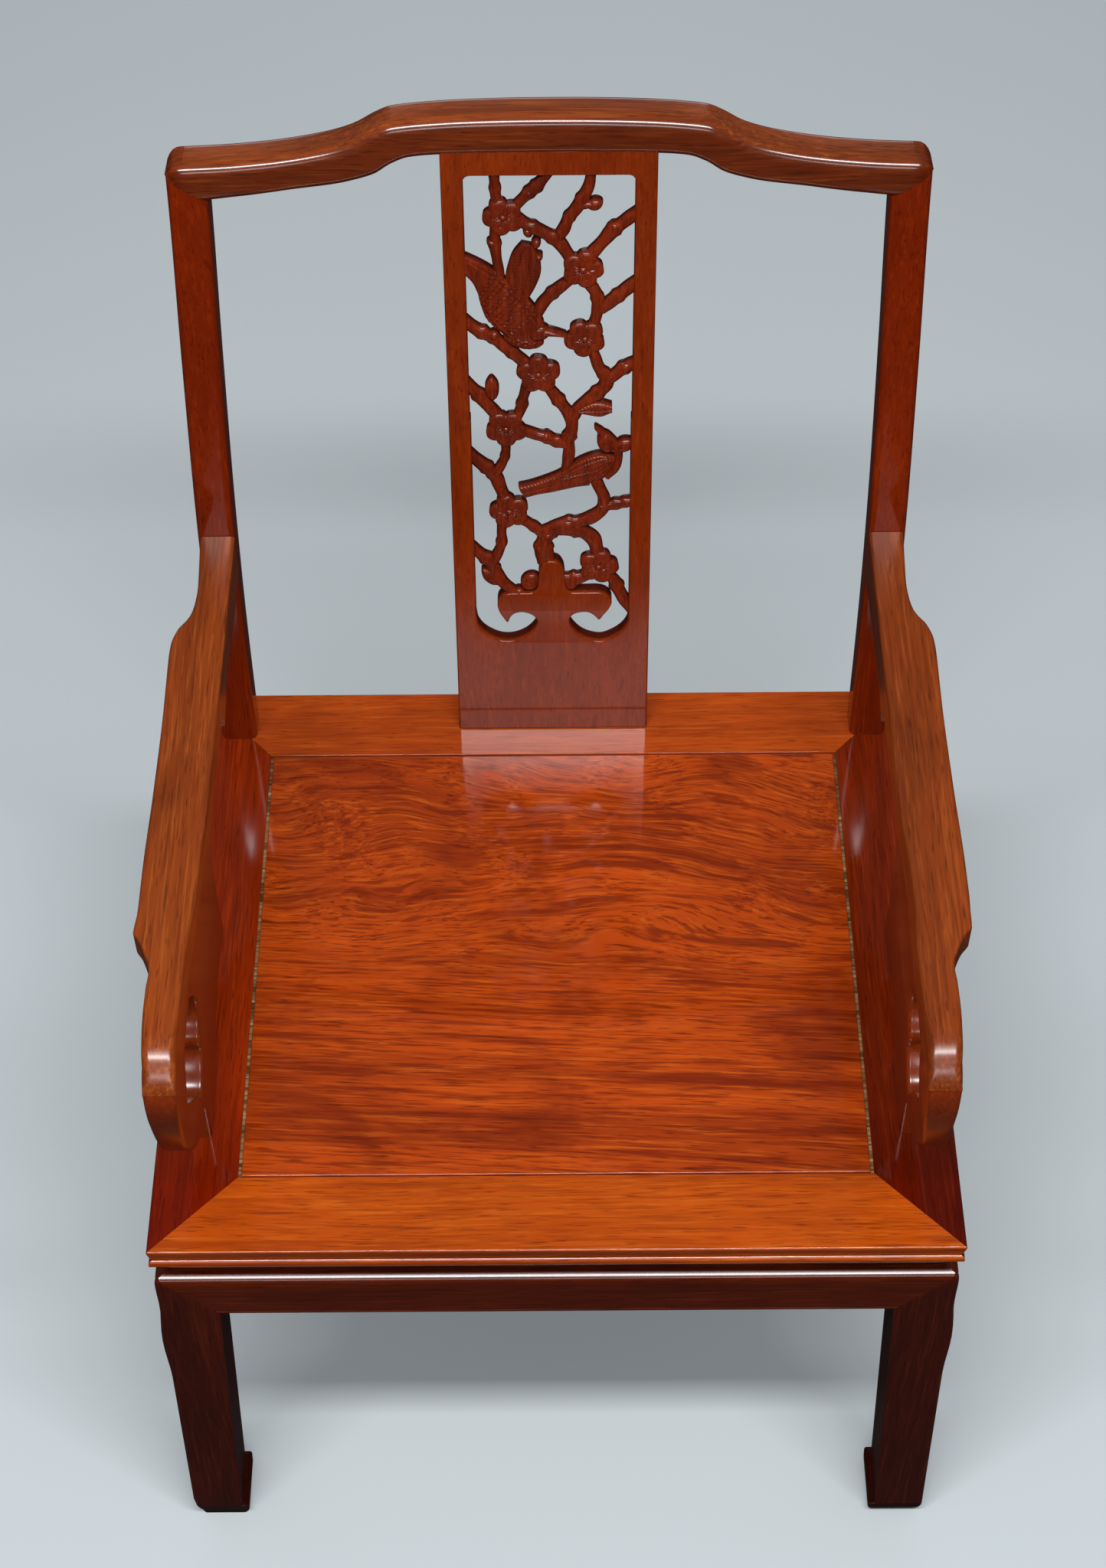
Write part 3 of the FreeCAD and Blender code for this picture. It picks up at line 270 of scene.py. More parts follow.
def bar_ring(low_a: Array, high_a: Array, low_b: Array, high_b: Array, radius: Array,
             low_radius: Array | None = None) -> tuple[Array, Array]:
    """Rounded rectangles, one for each row, ordered so that a strip of faces can close them.

    Going round: up the high side of a, then down its low side, so point k mirrors point n - 1 - k.
    Each corner is a quarter circle; each flat has lines near its ends, to hold the shading.

    Args:
        low_a: lowest a of each row.
        high_a: highest a of each row.
        low_b: lowest b of each row.
        high_b: highest b of each row.
        radius: corner radius of each row.
        low_radius: radius of the corners at the lowest b, where it differs.
    Returns: a and b, each of rows by ring points.
    """
    low_radius = radius if low_radius is None else low_radius
    low_a, high_a, low_b, high_b, radius, low_radius = np.broadcast_arrays(
        low_a, high_a, low_b, high_b, radius, low_radius)
    most = 0.49 * np.minimum(high_a - low_a, high_b - low_b)
    turn = np.linspace(0, math.pi / 2, ARC_STEPS + 1)
    columns_a = []
    columns_b = []
    for side_a, side_b, start in RING_CORNERS:
        size = np.minimum(radius if side_b > 0 else low_radius, most)
        edge_a = (high_a if side_a > 0 else low_a) - side_a * size
        edge_b = (high_b if side_b > 0 else low_b) - side_b * size
        columns_a.append(edge_a[:, None] + size[:, None] * np.cos(turn + start))
        columns_b.append(edge_b[:, None] + size[:, None] * np.sin(turn + start))
    ring_a = []
    ring_b = []
    for index in range(4):
        ring_a.append(columns_a[index])
        ring_b.append(columns_b[index])
        if index in (0, 2):
            first_a, last_a = columns_a[index][:, -1:], columns_a[index + 1][:, :1]
            first_b, last_b = columns_b[index][:, -1:], columns_b[index + 1][:, :1]
            ring_a.append(first_a + (last_a - first_a) * FLAT_SHARES)
            ring_b.append(first_b + (last_b - first_b) * FLAT_SHARES)
    return np.concatenate(ring_a, axis=1), np.concatenate(ring_b, axis=1)


def skin(name: str, grid: Array, cap: Cap) -> bpy.types.Object:
    """A closed surface over a grid whose columns go round and whose rows run along the piece.

    Args:
        name: the piece's name.
        grid: chair millimetres, rows by ring points by 3.
        cap: how the first and last rows are closed.
    Returns: the new object.
    """
    rows, columns = grid.shape[:2]
    index = np.arange(rows * columns).reshape(rows, columns)
    right = np.roll(index, -1, axis=1)
    quads = np.stack([index[:-1], right[:-1], right[1:], index[1:]], axis=-1).reshape(-1, 4).tolist()
    places = DATUM.row(grid.reshape(-1, 3))
    for row in (0, rows - 1):
        ring = index[row]
        if cap is Cap.FACE:
            quads.append(ring.tolist())
        elif cap is Cap.STRIP:
            near = np.arange(columns // 2 - 1)
            far = columns - 1 - near
            quads += np.stack([ring[near], ring[near + 1], ring[far - 1], ring[far]], axis=-1).tolist()
        else:
            pole = len(places)
            places = np.vstack([places, places[ring].mean(axis=0)])
            quads += [[int(a), int(b), pole] for a, b in zip(ring, np.roll(ring, -1))]
    mesh = bpy.data.meshes.new(name)
    mesh.from_pydata(places.tolist(), [], quads)
    return tidy_object(name, mesh)


def linked(name: str, data: bpy.types.ID) -> bpy.types.Object:
    """A new object at the origin.

    Args:
        name: the object's name.
        data: its mesh, curve, lamp or camera.
    Returns: the object, linked to the scene.
    """
    made = bpy.data.objects.new(name, data)
    bpy.context.scene.collection.objects.link(made)
    return made


def tidy_object(name: str, mesh: bpy.types.Mesh, merge: float = 1e-6) -> bpy.types.Object:
    """Merges a mesh's doubles, turns its faces outwards and links an object for it.

    Args:
        name: the piece's name.
        mesh: the mesh, in metres in the row's frame.
        merge: distance in metres under which points become one.
    Returns: the new object at the origin.
    """
    work = bmesh.new()
    work.from_mesh(mesh)
    bmesh.ops.remove_doubles(work, verts=work.verts, dist=merge)
    bmesh.ops.dissolve_degenerate(work, edges=work.edges, dist=merge)
    bmesh.ops.recalc_face_normals(work, faces=work.faces)
    work.to_mesh(mesh)
    work.free()
    return linked(name, mesh)


def joined(name: str, parts: list[bpy.types.Object]) -> bpy.types.Object:
    """Several objects as one piece.

    Args:
        name: the joined piece's name.
        parts: objects at the origin.
    Returns: the joined object; the parts are removed.
    """
    work = bmesh.new()
    for part in parts:
        work.from_mesh(part.data)
        mesh = part.data
        bpy.data.objects.remove(part)
        bpy.data.meshes.remove(mesh)
    mesh = bpy.data.meshes.new(name)
    work.to_mesh(mesh)
    work.free()
    return linked(name, mesh)


def board(name: str, outlines: list[Array], thickness: float, arris: float) -> bpy.types.Mesh:
    """A flat board with shaped holes and rounded arrises, in its own plane.

    Args:
        name: the mesh's name.
        outlines: the outer outline and then the holes', each a closed line in mm.
        thickness: the board's thickness in mm, centred on the plane.
        arris: radius of its rounded edges in mm.
    Returns: a mesh in mm: x and y in the plane, z through the thickness.
    """
    curve = bpy.data.curves.new(name, "CURVE")
    curve.dimensions = "2D"
    curve.fill_mode = "BOTH"
    curve.bevel_depth = arris
    curve.bevel_resolution = 2
    curve.offset = -arris
    curve.extrude = thickness / 2 - arris
    for outline in outlines:
        spline = curve.splines.new("POLY")
        spline.points.add(len(outline) - 1)
        flat = np.column_stack([outline, np.zeros(len(outline)), np.ones(len(outline))])
        spline.points.foreach_set("co", flat.ravel())
        spline.use_cyclic_u = True
    holder = linked(name, curve)
    bpy.context.view_layer.update()
    mesh = bpy.data.meshes.new_from_object(holder.evaluated_get(bpy.context.evaluated_depsgraph_get()))
    bpy.data.objects.remove(holder)
    bpy.data.curves.remove(curve)
    return mesh


def points_of(mesh: bpy.types.Mesh) -> Array:
    """The points of a mesh.

    Args:
        mesh: the mesh.
    Returns: an array of rows of three.
    """
    flat = np.empty(len(mesh.vertices) * 3)
    mesh.vertices.foreach_get("co", flat)
    return flat.reshape(-1, 3)


def place_points(mesh: bpy.types.Mesh, chair_mm: Array) -> None:
    """Moves a mesh's points.

    Args:
        mesh: the mesh.
        chair_mm: the new places, in the chair's millimetres, in rows of three.
    """
    mesh.vertices.foreach_set("co", DATUM.row(chair_mm).ravel())
    mesh.update()


class Wiring:
    """Short calls that add nodes to a tree and link them."""

    def __init__(self, tree: bpy.types.NodeTree) -> None:
        """Args: tree: the node tree to work in."""
        self.tree = tree

    def node(self, kind: str, **values: object) -> bpy.types.Node:
        """A node of a kind with its own settings.

        Args:
            kind: the node's type name.
            values: settings, such as an operation.
        Returns: the node.
        """
        made = self.tree.nodes.new(kind)
        for name, value in values.items():
            setattr(made, name, value)
        return made

    def feed(self, socket: bpy.types.NodeSocket, value: object) -> None:
        """Links an output to a socket, or sets the socket's value.

        Args:
            socket: the input to feed.
            value: an output socket or a plain value.
        """
        if isinstance(value, bpy.types.NodeSocket):
            self.tree.links.new(value, socket)
        else:
            socket.default_value = value

    def sums(self, operation: str, *values: object) -> bpy.types.NodeSocket:
        """A math node.

        Args:
            operation: the operation's name.
            values: its inputs.
        Returns: its output.
        """
        made = self.node("ShaderNodeMath", operation=operation)
        for socket, value in zip(made.inputs, values):
            self.feed(socket, value)
        return made.outputs[0]

    def vector(self, operation: str, *values: object) -> bpy.types.NodeSocket:
        """A vector math node.

        Args:
            operation: the operation's name.
            values: its inputs.
        Returns: its output.
        """
        made = self.node("ShaderNodeVectorMath", operation=operation)
        for socket, value in zip(made.inputs, values):
            self.feed(socket, value)
        return made.outputs[0]

    def noise(self, place: object, scale: float, detail: float = 3.0, rough: float = 0.55,
              twist: float = 0.0) -> bpy.types.Node:
        """A noise texture.

        Args:
            place: where it is read.
            scale: its scale.
            detail: its octaves.
            rough: share of each finer octave.
            twist: its distortion.
        Returns: the node.
        """
        made = self.node("ShaderNodeTexNoise")
        self.feed(made.inputs["Vector"], place)
        made.inputs["Scale"].default_value = scale
        made.inputs["Detail"].default_value = detail
        made.inputs["Roughness"].default_value = rough
        made.inputs["Distortion"].default_value = twist
        return made

    def between(self, value: object, low: float, high: float, start: float = 0.0,
                end: float = 1.0) -> bpy.types.NodeSocket:
        """Smoothly maps a value between two limits.

        Args:
            value: the value.
            low: where the rise starts.
            high: where it ends.
            start: result at low.
            end: result at high.
        Returns: the output socket.
        """
        made = self.node("ShaderNodeMapRange", interpolation_type="SMOOTHSTEP")
        self.feed(made.inputs["Value"], value)
        for name, number in (("From Min", low), ("From Max", high), ("To Min", start), ("To Max", end)):
            self.feed(made.inputs[name], number)
        return made.outputs["Result"]

    def mixed(self, share: object, first: object, second: object, blend: str = "MIX") -> bpy.types.NodeSocket:
        """A mix of two colours.

        Args:
            share: how much of the second.
            first: a colour.
            second: a colour.
            blend: the way they mix.
        Returns: the colour's socket.
        """
        made = self.node("ShaderNodeMix", data_type="RGBA", blend_type=blend)
        self.feed(made.inputs["Factor"], share)
        self.feed(made.inputs["A"], first)
        self.feed(made.inputs["B"], second)
        return made.outputs["Result"]


def group_sockets(tree: bpy.types.NodeTree, inputs: dict[str, str], outputs: dict[str, str]) -> None:
    """Args:
        tree: the group.
        inputs: socket names and their types.
        outputs: socket names and their types.
    """
    for name, kind in inputs.items():
        tree.interface.new_socket(name=name, in_out="INPUT", socket_type=kind)
    for name, kind in outputs.items():
        tree.interface.new_socket(name=name, in_out="OUTPUT", socket_type=kind)


def figured_wood() -> bpy.types.NodeTree:
    """Builds the group that gives hardwood its streaks, clouds and pores.

    Fibres run along the first axis.  Two wide noises bend them, gently and in swirls; noises drawn
    out along them give bands, dark streaks and lines, pale fibres and short dark pores and dashes,
    and wide noise gives clouds.

    Returns: the node group.
    """
    tree = bpy.data.node_groups.new("figured_wood", "ShaderNodeTree")
    scalar, colour = "NodeSocketFloat", "NodeSocketColor"
    inputs = {"Vector": "NodeSocketVector", "Dark": colour, "Middle": colour, "Light": colour,
              "Bend": scalar, "Swirl": scalar, "Streaks": scalar, "Clouds": scalar, "Pores": scalar}
    group_sockets(tree, inputs, {"Color": colour, "Roughness": scalar, "Height": scalar})
    wires = Wiring(tree)
    source = wires.node("NodeGroupInput").outputs
    sink = wires.node("NodeGroupOutput").inputs
    place = source["Vector"]
    bent = place
    for stretch, amount in (((2.2, 6.0, 6.0), "Bend"), ((4.6, 8.0, 8.0), "Swirl")):
        drift = wires.noise(wires.vector("MULTIPLY", place, stretch), 1.0, 2.0, 0.45)
        scaled = wires.node("ShaderNodeVectorMath", operation="SCALE")
        wires.feed(scaled.inputs[0], wires.vector("SUBTRACT", drift.outputs["Color"], (0.5, 0.5, 0.5)))
        wires.feed(scaled.inputs["Scale"], source[amount])
        bent = wires.vector("ADD", bent, scaled.outputs[0])

    def drawn_out(stretch: Triple, detail: float, rough: float) -> bpy.types.NodeSocket:
        """Noise drawn out along the fibres.

        Args:
            stretch: its scale along each axis.
            detail: its octaves.
            rough: share of each finer octave.
        Returns: its value's socket.
        """
        return wires.noise(wires.vector("MULTIPLY", bent, stretch), 1.0, detail, rough).outputs["Fac"]

    broad = drawn_out((1.6, 26.0, 26.0), 3.0, 0.55)
    streak = drawn_out((6.0, 115.0, 115.0), 3.0, 0.6)
    fibre = drawn_out((15.0, 420.0, 420.0), 2.0, 0.55)
    line = drawn_out((24.0, 430.0, 430.0), 2.0, 0.6)
    pore = drawn_out((50.0, 900.0, 900.0), 1.0, 0.5)
    dash = drawn_out((13.0, 300.0, 300.0), 2.0, 0.5)
    widened = wires.vector("MULTIPLY", place, (6.0, 11.0, 11.0))
    cloud = wires.noise(widened, 1.0, 4.0, 0.55, 1.2).outputs["Fac"]
    low_tone = wires.mixed(0.5, source["Dark"], source["Middle"])
    base = wires.mixed(wires.between(broad, 0.38, 0.60), low_tone, source["Middle"])
    shine = wires.sums("MULTIPLY", wires.between(fibre, 0.48, 0.70), source["Streaks"])
    lit = wires.mixed(shine, base, source["Light"])
    thin = wires.between(line, 0.50, 0.64, 0.0, 0.85)
    dark_streak = wires.sums("MULTIPLY", wires.sums("MAXIMUM", wires.between(streak, 0.53, 0.66), thin),
                             source["Streaks"])
    streaked = wires.mixed(dark_streak, lit, source["Dark"])
    clouded = wires.mixed(wires.sums("MULTIPLY", wires.between(cloud, 0.5, 0.7), source["Clouds"]), streaked,
                          source["Dark"])
    marks = wires.sums("MAXIMUM", wires.between(pore, 0.62, 0.72), wires.between(dash, 0.62, 0.74, 0.0, 0.8))
    marks = wires.sums("MULTIPLY", marks, source["Pores"])
    pored = wires.mixed(marks, clouded, wires.mixed(0.55, source["Dark"], (0.006, 0.001, 0.0005, 1.0)))
    wires.feed(sink["Color"], pored)
    wires.feed(sink["Roughness"], wires.sums("ADD", 0.34, wires.sums("MULTIPLY", fibre, 0.2)))
    wires.feed(sink["Height"], wires.sums("SUBTRACT", wires.sums("MULTIPLY", fibre, 0.3),
                                          wires.sums("MULTIPLY", marks, 0.5)))
    return tree


def hand_wear() -> bpy.types.NodeTree:
    """Builds the group that varies a lacquer's colour and gloss as handling and dust do.

    Broad noise darkens or warms the colour a little, and finer noise makes faint dull smears.

    Returns: the node group.
    """
    tree = bpy.data.node_groups.new("hand_wear", "ShaderNodeTree")
    scalar, colour = "NodeSocketFloat", "NodeSocketColor"
    inputs = {"Vector": "NodeSocketVector", "Color": colour, "Roughness": scalar, "Amount": scalar}
    group_sockets(tree, inputs, {"Color": colour, "Roughness": scalar})
    wires = Wiring(tree)
    source = wires.node("NodeGroupInput").outputs
    sink = wires.node("NodeGroupOutput").inputs
    broad = wires.noise(source["Vector"], 5.0, 3.0).outputs["Fac"]
    smear = wires.noise(source["Vector"], 38.0, 4.0, 0.6, 0.8).outputs["Fac"]
    share = wires.sums("MULTIPLY", wires.between(broad, 0.35, 0.75), source["Amount"])
    darker = wires.mixed(share, source["Color"], (0.5, 0.42, 0.38, 1.0), "MULTIPLY")
    wires.feed(sink["Color"], darker)
    dull = wires.sums("MULTIPLY", wires.between(smear, 0.5, 0.75), source["Amount"])
    wires.feed(sink["Roughness"], wires.sums("ADD", source["Roughness"], wires.sums("MULTIPLY", dull, 0.25)))
    return tree


FIGURED_WOOD = figured_wood()
HAND_WEAR = hand_wear()


@dataclass(frozen=True)
class Fade:
    """A change of colour along a direction: up to its start the colour is multiplied by the tint.

    Distances are in mm along the direction, from the chair's own origin moved back by the setback.
    """

    toward: Triple
    start: float
    end: float
    tint: Triple
    setback: float = 0.0

    def over(self, wires: Wiring, place: bpy.types.NodeSocket,
             colour: bpy.types.NodeSocket) -> bpy.types.NodeSocket:
        """Adds the fade over a colour.

        Args:
            wires: the material's wiring.
            place: the object coordinates.
            colour: the colour that fades.
        Returns: the faded colour's socket.
        """
        along = wires.node("ShaderNodeVectorMath", operation="DOT_PRODUCT")
        wires.feed(along.inputs[0], place)
        along.inputs[1].default_value = self.toward
        origin = float(np.dot(DATUM.row(np.array([0.0, self.setback, 0.0])), self.toward))
        low, high = origin + self.start * METRES_PER_MM, origin + self.end * METRES_PER_MM
        share = wires.between(along.outputs["Value"], low, high, 1.0, 0.0)
        return wires.mixed(share, colour, (*self.tint, 1.0), "MULTIPLY")


@dataclass(frozen=True)
class Tones:
    """The three colours of a wood: its dark streaks, its ground and its pale fibres."""

    dark: Triple
    middle: Triple
    light: Triple


@dataclass(frozen=True)
class PaintedShade:
    """Depths behind the splat's face, in mm, where painted shade darkens the walls of a hollow and where that
    ends again.
    """

    start: float
    full: float
    end: float
    end_run: float = 0.3
    tint: Triple = (0.30, 0.24, 0.22)

    def over(self, wires: Wiring, place: bpy.types.NodeSocket,
             colour: bpy.types.NodeSocket) -> bpy.types.NodeSocket:
        """Adds the painted shade over a colour.

        Args:
            wires: the material's wiring.
            place: the object coordinates.
            colour: the colour that darkens.
        Returns: the darkened colour's socket.
        """
        depth = wires.node("ShaderNodeVectorMath", operation="DOT_PRODUCT")
        wires.feed(depth.inputs[0], place)
        depth.inputs[1].default_value = BEHIND_BACK
        face = DATUM.row(np.array([0.0, SPLAT_SETBACK, 0.0]))
        start = face[1] * math.cos(LEAN) - face[2] * math.sin(LEAN)
        behind = wires.sums("SUBTRACT", depth.outputs["Value"], start)
        behind = wires.sums("MULTIPLY", behind, 1.0 / METRES_PER_MM)
        dim = wires.sums("MULTIPLY", wires.between(behind, self.start, self.full),
                         wires.between(behind, self.end, self.end + self.end_run, 1.0, 0.0))
        return wires.mixed(dim, colour, (*self.tint, 1.0), "MULTIPLY")


@dataclass(frozen=True)
class LacqueredWood:
    """A hardwood figured and worn as its shares say, under a lacquer coat.

    The swirl is where along y, in metres, the figure starts and ends to swirl, and by how much.
    """

    name: str
    tones: Tones
    grain: Grain = Grain.ACROSS
    offset: Triple = (0.0, 0.0, 0.0)
    bend: float = 0.02
    streaks: float = 0.55
    clouds: float = 0.35
    pores: float = 0.6
    wear: float = 0.35
    coat: float = 1.0
    coat_rough: float = 0.09
    coat_ior: float = 1.6
    relief: float = 0.12
    relief_depth: float = 0.0006
    slant: float = 0.0
    swirl: Triple | None = None
    # painted shade on the walls of hollows, by depth behind the splat's face, where given
    painted_shade: PaintedShade | None = None
    fades: tuple[Fade, ...] = ()

    @cache
    def material(self) -> bpy.types.Material:
        """Returns: the finish as a material, the same one each time it is asked for."""
        made = bpy.data.materials.new(self.name)
        made.use_nodes = True
        tree = made.node_tree
        tree.nodes.clear()
        wires = Wiring(tree)
        place = wires.node("ShaderNodeTexCoord").outputs["Object"]
        turned = wires.node("ShaderNodeMapping")
        wires.feed(turned.inputs["Vector"], place)
        turn_x, turn_y, turn_z = self.grain.value
        turned.inputs["Rotation"].default_value = (turn_x, turn_y, turn_z + math.radians(self.slant))
        turned.inputs["Location"].default_value = self.offset
        wood = wires.node("ShaderNodeGroup", node_tree=FIGURED_WOOD)
        wires.feed(wood.inputs["Vector"], turned.outputs["Vector"])
        tones = self.tones
        for socket, tone in (("Dark", tones.dark), ("Middle", tones.middle), ("Light", tones.light)):
            wood.inputs[socket].default_value = (*tone, 1.0)
        for socket, value in (("Bend", self.bend), ("Streaks", self.streaks), ("Clouds", self.clouds),
                              ("Pores", self.pores)):
            wood.inputs[socket].default_value = value
        if self.swirl:
            start, end, amount = self.swirl
            axes = wires.node("ShaderNodeSeparateXYZ")
            wires.feed(axes.inputs[0], place)
            wires.feed(wood.inputs["Swirl"], wires.between(axes.outputs["Y"], start, end, 0.0, amount))
        worn = wires.node("ShaderNodeGroup", node_tree=HAND_WEAR)
        wires.feed(worn.inputs["Vector"], place)
        wires.feed(worn.inputs["Color"], wood.outputs["Color"])
        wires.feed(worn.inputs["Roughness"], wood.outputs["Roughness"])
        worn.inputs["Amount"].default_value = self.wear
        tint = worn.outputs["Color"]
        # painted shade: darker walls in hollows, by depth behind the splat's face
        if self.painted_shade:
            tint = self.painted_shade.over(wires, place, tint)
        for fade in self.fades:
            tint = fade.over(wires, place, tint)
        bump = wires.node("ShaderNodeBump")
        wires.feed(bump.inputs["Height"], wood.outputs["Height"])
        bump.inputs["Strength"].default_value = self.relief
        bump.inputs["Distance"].default_value = self.relief_depth
        shader = wires.node("ShaderNodeBsdfPrincipled")
        wires.feed(shader.inputs["Base Color"], tint)
        wires.feed(shader.inputs["Roughness"], worn.outputs["Roughness"])
        wires.feed(shader.inputs["Normal"], bump.outputs["Normal"])
        shader.inputs["Specular IOR Level"].default_value = 0.0
        shader.inputs["Coat Weight"].default_value = self.coat
        shader.inputs["Coat Roughness"].default_value = self.coat_rough
        shader.inputs["Coat IOR"].default_value = self.coat_ior
        sink = wires.node("ShaderNodeOutputMaterial")
        wires.feed(sink.inputs["Surface"], shader.outputs["BSDF"])
        return made


def dress(piece: bpy.types.Object, finish: LacqueredWood, nodes: tuple[str, ...],
          sharp: float = 32.0) -> None:
    """Shades a piece, gives it its finish and binds it to the frame.

    Args:
        piece: the object.
        finish: its finish.
        nodes: the CAD nodes it stands for.
        sharp: angle in degrees over which an edge stays sharp.
    """
    mesh = piece.data
    mesh.materials.clear()
    mesh.materials.append(finish.material())
    mesh.polygons.foreach_set("use_smooth", np.ones(len(mesh.polygons), bool))
    mesh.set_sharp_from_angle(angle=math.radians(sharp))
    weighted = piece.modifiers.new("even_shading", "WEIGHTED_NORMAL")
    weighted.keep_sharp = True
    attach(piece, "root")
    if nodes:
        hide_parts(*nodes)
    log.info("%s: %d faces, for %s", piece.name, len(mesh.polygons), ", ".join(nodes) or "no solid")


MITRE_GAP = 0.08
SIDES = {"left": -1.0, "right": 1.0}


@dataclass
class SeatFrame:
    """The seat's four mitred rails, its floating panel and the pale bare edge beside the panel.

    The edge is the rails' outer profile, from the top's outer corner down, as distance inwards and
    height, with a radius for each of its corners.
    """

    front_width: float = 59.0
    side_width: float = 59.0
    back_width: float = 63.0
    thickness: float = 26.0
    gap_side: float = 2.2
    gap_front: float = 1.0
    gap_back: float = 1.6
    panel_thickness: float = 14.0
    panel_arris: float = 0.9
    edge: list[Point] = field(default_factory=lambda: [
        (0.0, 0.0), (1.9, -11.8), (3.6, -12.4), (3.6, -13.9), (0.1, -14.2), (0.1, -20.4), (3.4, -21.8),
        (6.0, -23.6), (8.6, -24.9), (11.0, -25.6), (12.5, -26.0)])
    edge_radii: list[float] = field(default_factory=lambda: [
        1.3, 0.8, 0.2, 0.2, 2.8, 2.4, 0.5, 0.8, 0.5, 0.4, 0.1])
    inner_radii: tuple[float, float] = (0.1, 0.5)
    rail_rows: int = 9
    panel_rows: int = 22
    panel_columns: int = 26
    panel_roll: float = 0.05
    strip_rows: int = 40
    strip_lap: float = 0.2
    strip_arris: float = 0.2
    strip_low: float = -9.0
    strip_high: float = -1.5
    strip_end: float = 1.0

    def section(self, width: float) -> Array:
        """A rail's section.

        Args:
            width: the rail's width.
        Returns: the closed section, as distance inwards and height.
        """
        corners = self.edge + [(width, -self.thickness), (width, 0.0)]
        return round_corners(corners, [*self.edge_radii, *self.inner_radii])

    def across(self, name: str, end: float, width: float) -> bpy.types.Object:
        """A rail along x.

        The section is drawn out to where its distance inwards meets the mitre: half the seat's width
        less that distance times the side rail's width over this rail's.

        Args:
            name: the piece's name.
            end: -1 for the front rail, 1 for the back one.
            width: the rail's width.
        Returns: the object.
        """
        inward, height = self.section(width).T
        reach = SEAT_HALF - inward * self.side_width / width - MITRE_GAP
        y = inward if end < 0 else SEAT_DEPTH - inward
        share = np.linspace(-1, 1, self.rail_rows)[:, None]
        grid = np.stack(np.broadcast_arrays(share * reach, y, height), axis=-1)
        return skin(name, grid, Cap.FACE)

    def along(self, name: str, side: float) -> bpy.types.Object:
        """A side rail along y, drawn out between its two mitres.

        Args:
            name: the piece's name.
            side: -1 for left, 1 for right.
        Returns: the object.
        """
        inward, height = self.section(self.side_width).T
        start = inward * self.front_width / self.side_width + MITRE_GAP
        end = SEAT_DEPTH - inward * self.back_width / self.side_width - MITRE_GAP
        y = start + (end - start) * np.linspace(0, 1, self.rail_rows)[:, None]
        grid = np.stack(np.broadcast_arrays(side * (SEAT_HALF - inward), y, height), axis=-1)
        return skin(name, grid, Cap.FACE)

    def panel(self, name: str) -> bpy.types.Object:
        """The floating panel: a slab whose top falls off in a quarter circle at its edges.

        Its top also rolls by a few hundredths of a millimetre, as a hand-planed board's does.

        Args:
            name: the piece's name.
        Returns: the object.
        """
        half = SEAT_HALF - self.side_width - self.gap_side
        near = self.front_width + self.gap_front
        far = SEAT_DEPTH - self.back_width - self.gap_back
        arris = self.panel_arris
        curve = arris * (1 - np.cos(np.linspace(0, math.pi / 2, 6)))
        flat_rows = np.linspace(near + arris, far - arris, self.panel_rows)[1:-1]
        rows = np.concatenate([near + curve, flat_rows, far - curve[::-1]])
        flat_x = np.linspace(-half + arris, half - arris, self.panel_columns)[1:-1]
        top_x = np.concatenate([-half + curve, flat_x, half - curve[::-1]])
        fall_x = np.clip(np.abs(top_x) - (half - arris), 0, arris)
        fall_y = np.clip(np.maximum(near + arris - rows, rows - (far - arris)), 0, arris)
        drop = 2 * arris - np.sqrt(arris**2 - fall_x**2) - np.sqrt(arris**2 - fall_y**2)[:, None]
        roll = self.panel_roll * np.sin(top_x / 47.0 + 0.6) * np.cos(rows / 61.0)[:, None]
        top_z = -np.minimum(drop, arris) + roll
        ring_x = np.concatenate([top_x, top_x[::-1]])
        ring_z = np.hstack([top_z, np.full_like(top_z, -self.panel_thickness)])
        grid = np.stack(np.broadcast_arrays(ring_x, rows[:, None], ring_z), axis=-1)
        return skin(name, grid, Cap.STRIP)

    def gap_line(self, name: str, side: float) -> bpy.types.Object:
        """The pale bare edge seen down the gap at one side of the panel.

        Args:
            name: the piece's name.
            side: -1 for left, 1 for right.
        Returns: the object.
        """
        middle = SEAT_HALF - self.side_width - self.gap_side / 2
        rows = np.linspace(self.front_width + self.strip_end, SEAT_DEPTH - self.back_width - self.strip_end,
                           self.strip_rows)
        wander = 0.12 * np.sin(rows / 9.0) + 0.08 * np.sin(rows / 3.7)
        half = self.gap_side / 2 + self.strip_lap
        low = np.full(self.strip_rows, self.strip_low)
        high = self.strip_high + wander
        a, b = bar_ring(middle - half + wander, middle + half + wander, low, high, self.strip_arris)
        grid = np.stack(np.broadcast_arrays(side * a, rows[:, None], b), axis=-1)
        return skin(name, grid, Cap.STRIP)

    def build(self, finish: "Finishes") -> None:
        """Builds the pieces and dresses them.

        Args:
            finish: the chair's finishes.
        """
        front = self.across("seat_front", -1.0, self.front_width)
        dress(front, finish.front_rail, ("seat_front_rail",))
        back = self.across("seat_back", 1.0, self.back_width)
        dress(back, finish.back_rail, ("seat_back_rail",))
        for name, side in SIDES.items():
            rail_finish = finish.left_rail if side < 0 else finish.right_rail
            dress(self.along(f"seat_{name}", side), rail_finish, (f"seat_{name}_rail",))
            dress(self.gap_line(f"panel_gap_{name}", side), finish.bare_edge, ())
        dress(self.panel("panel"), finish.panel, ("seat_panel",))


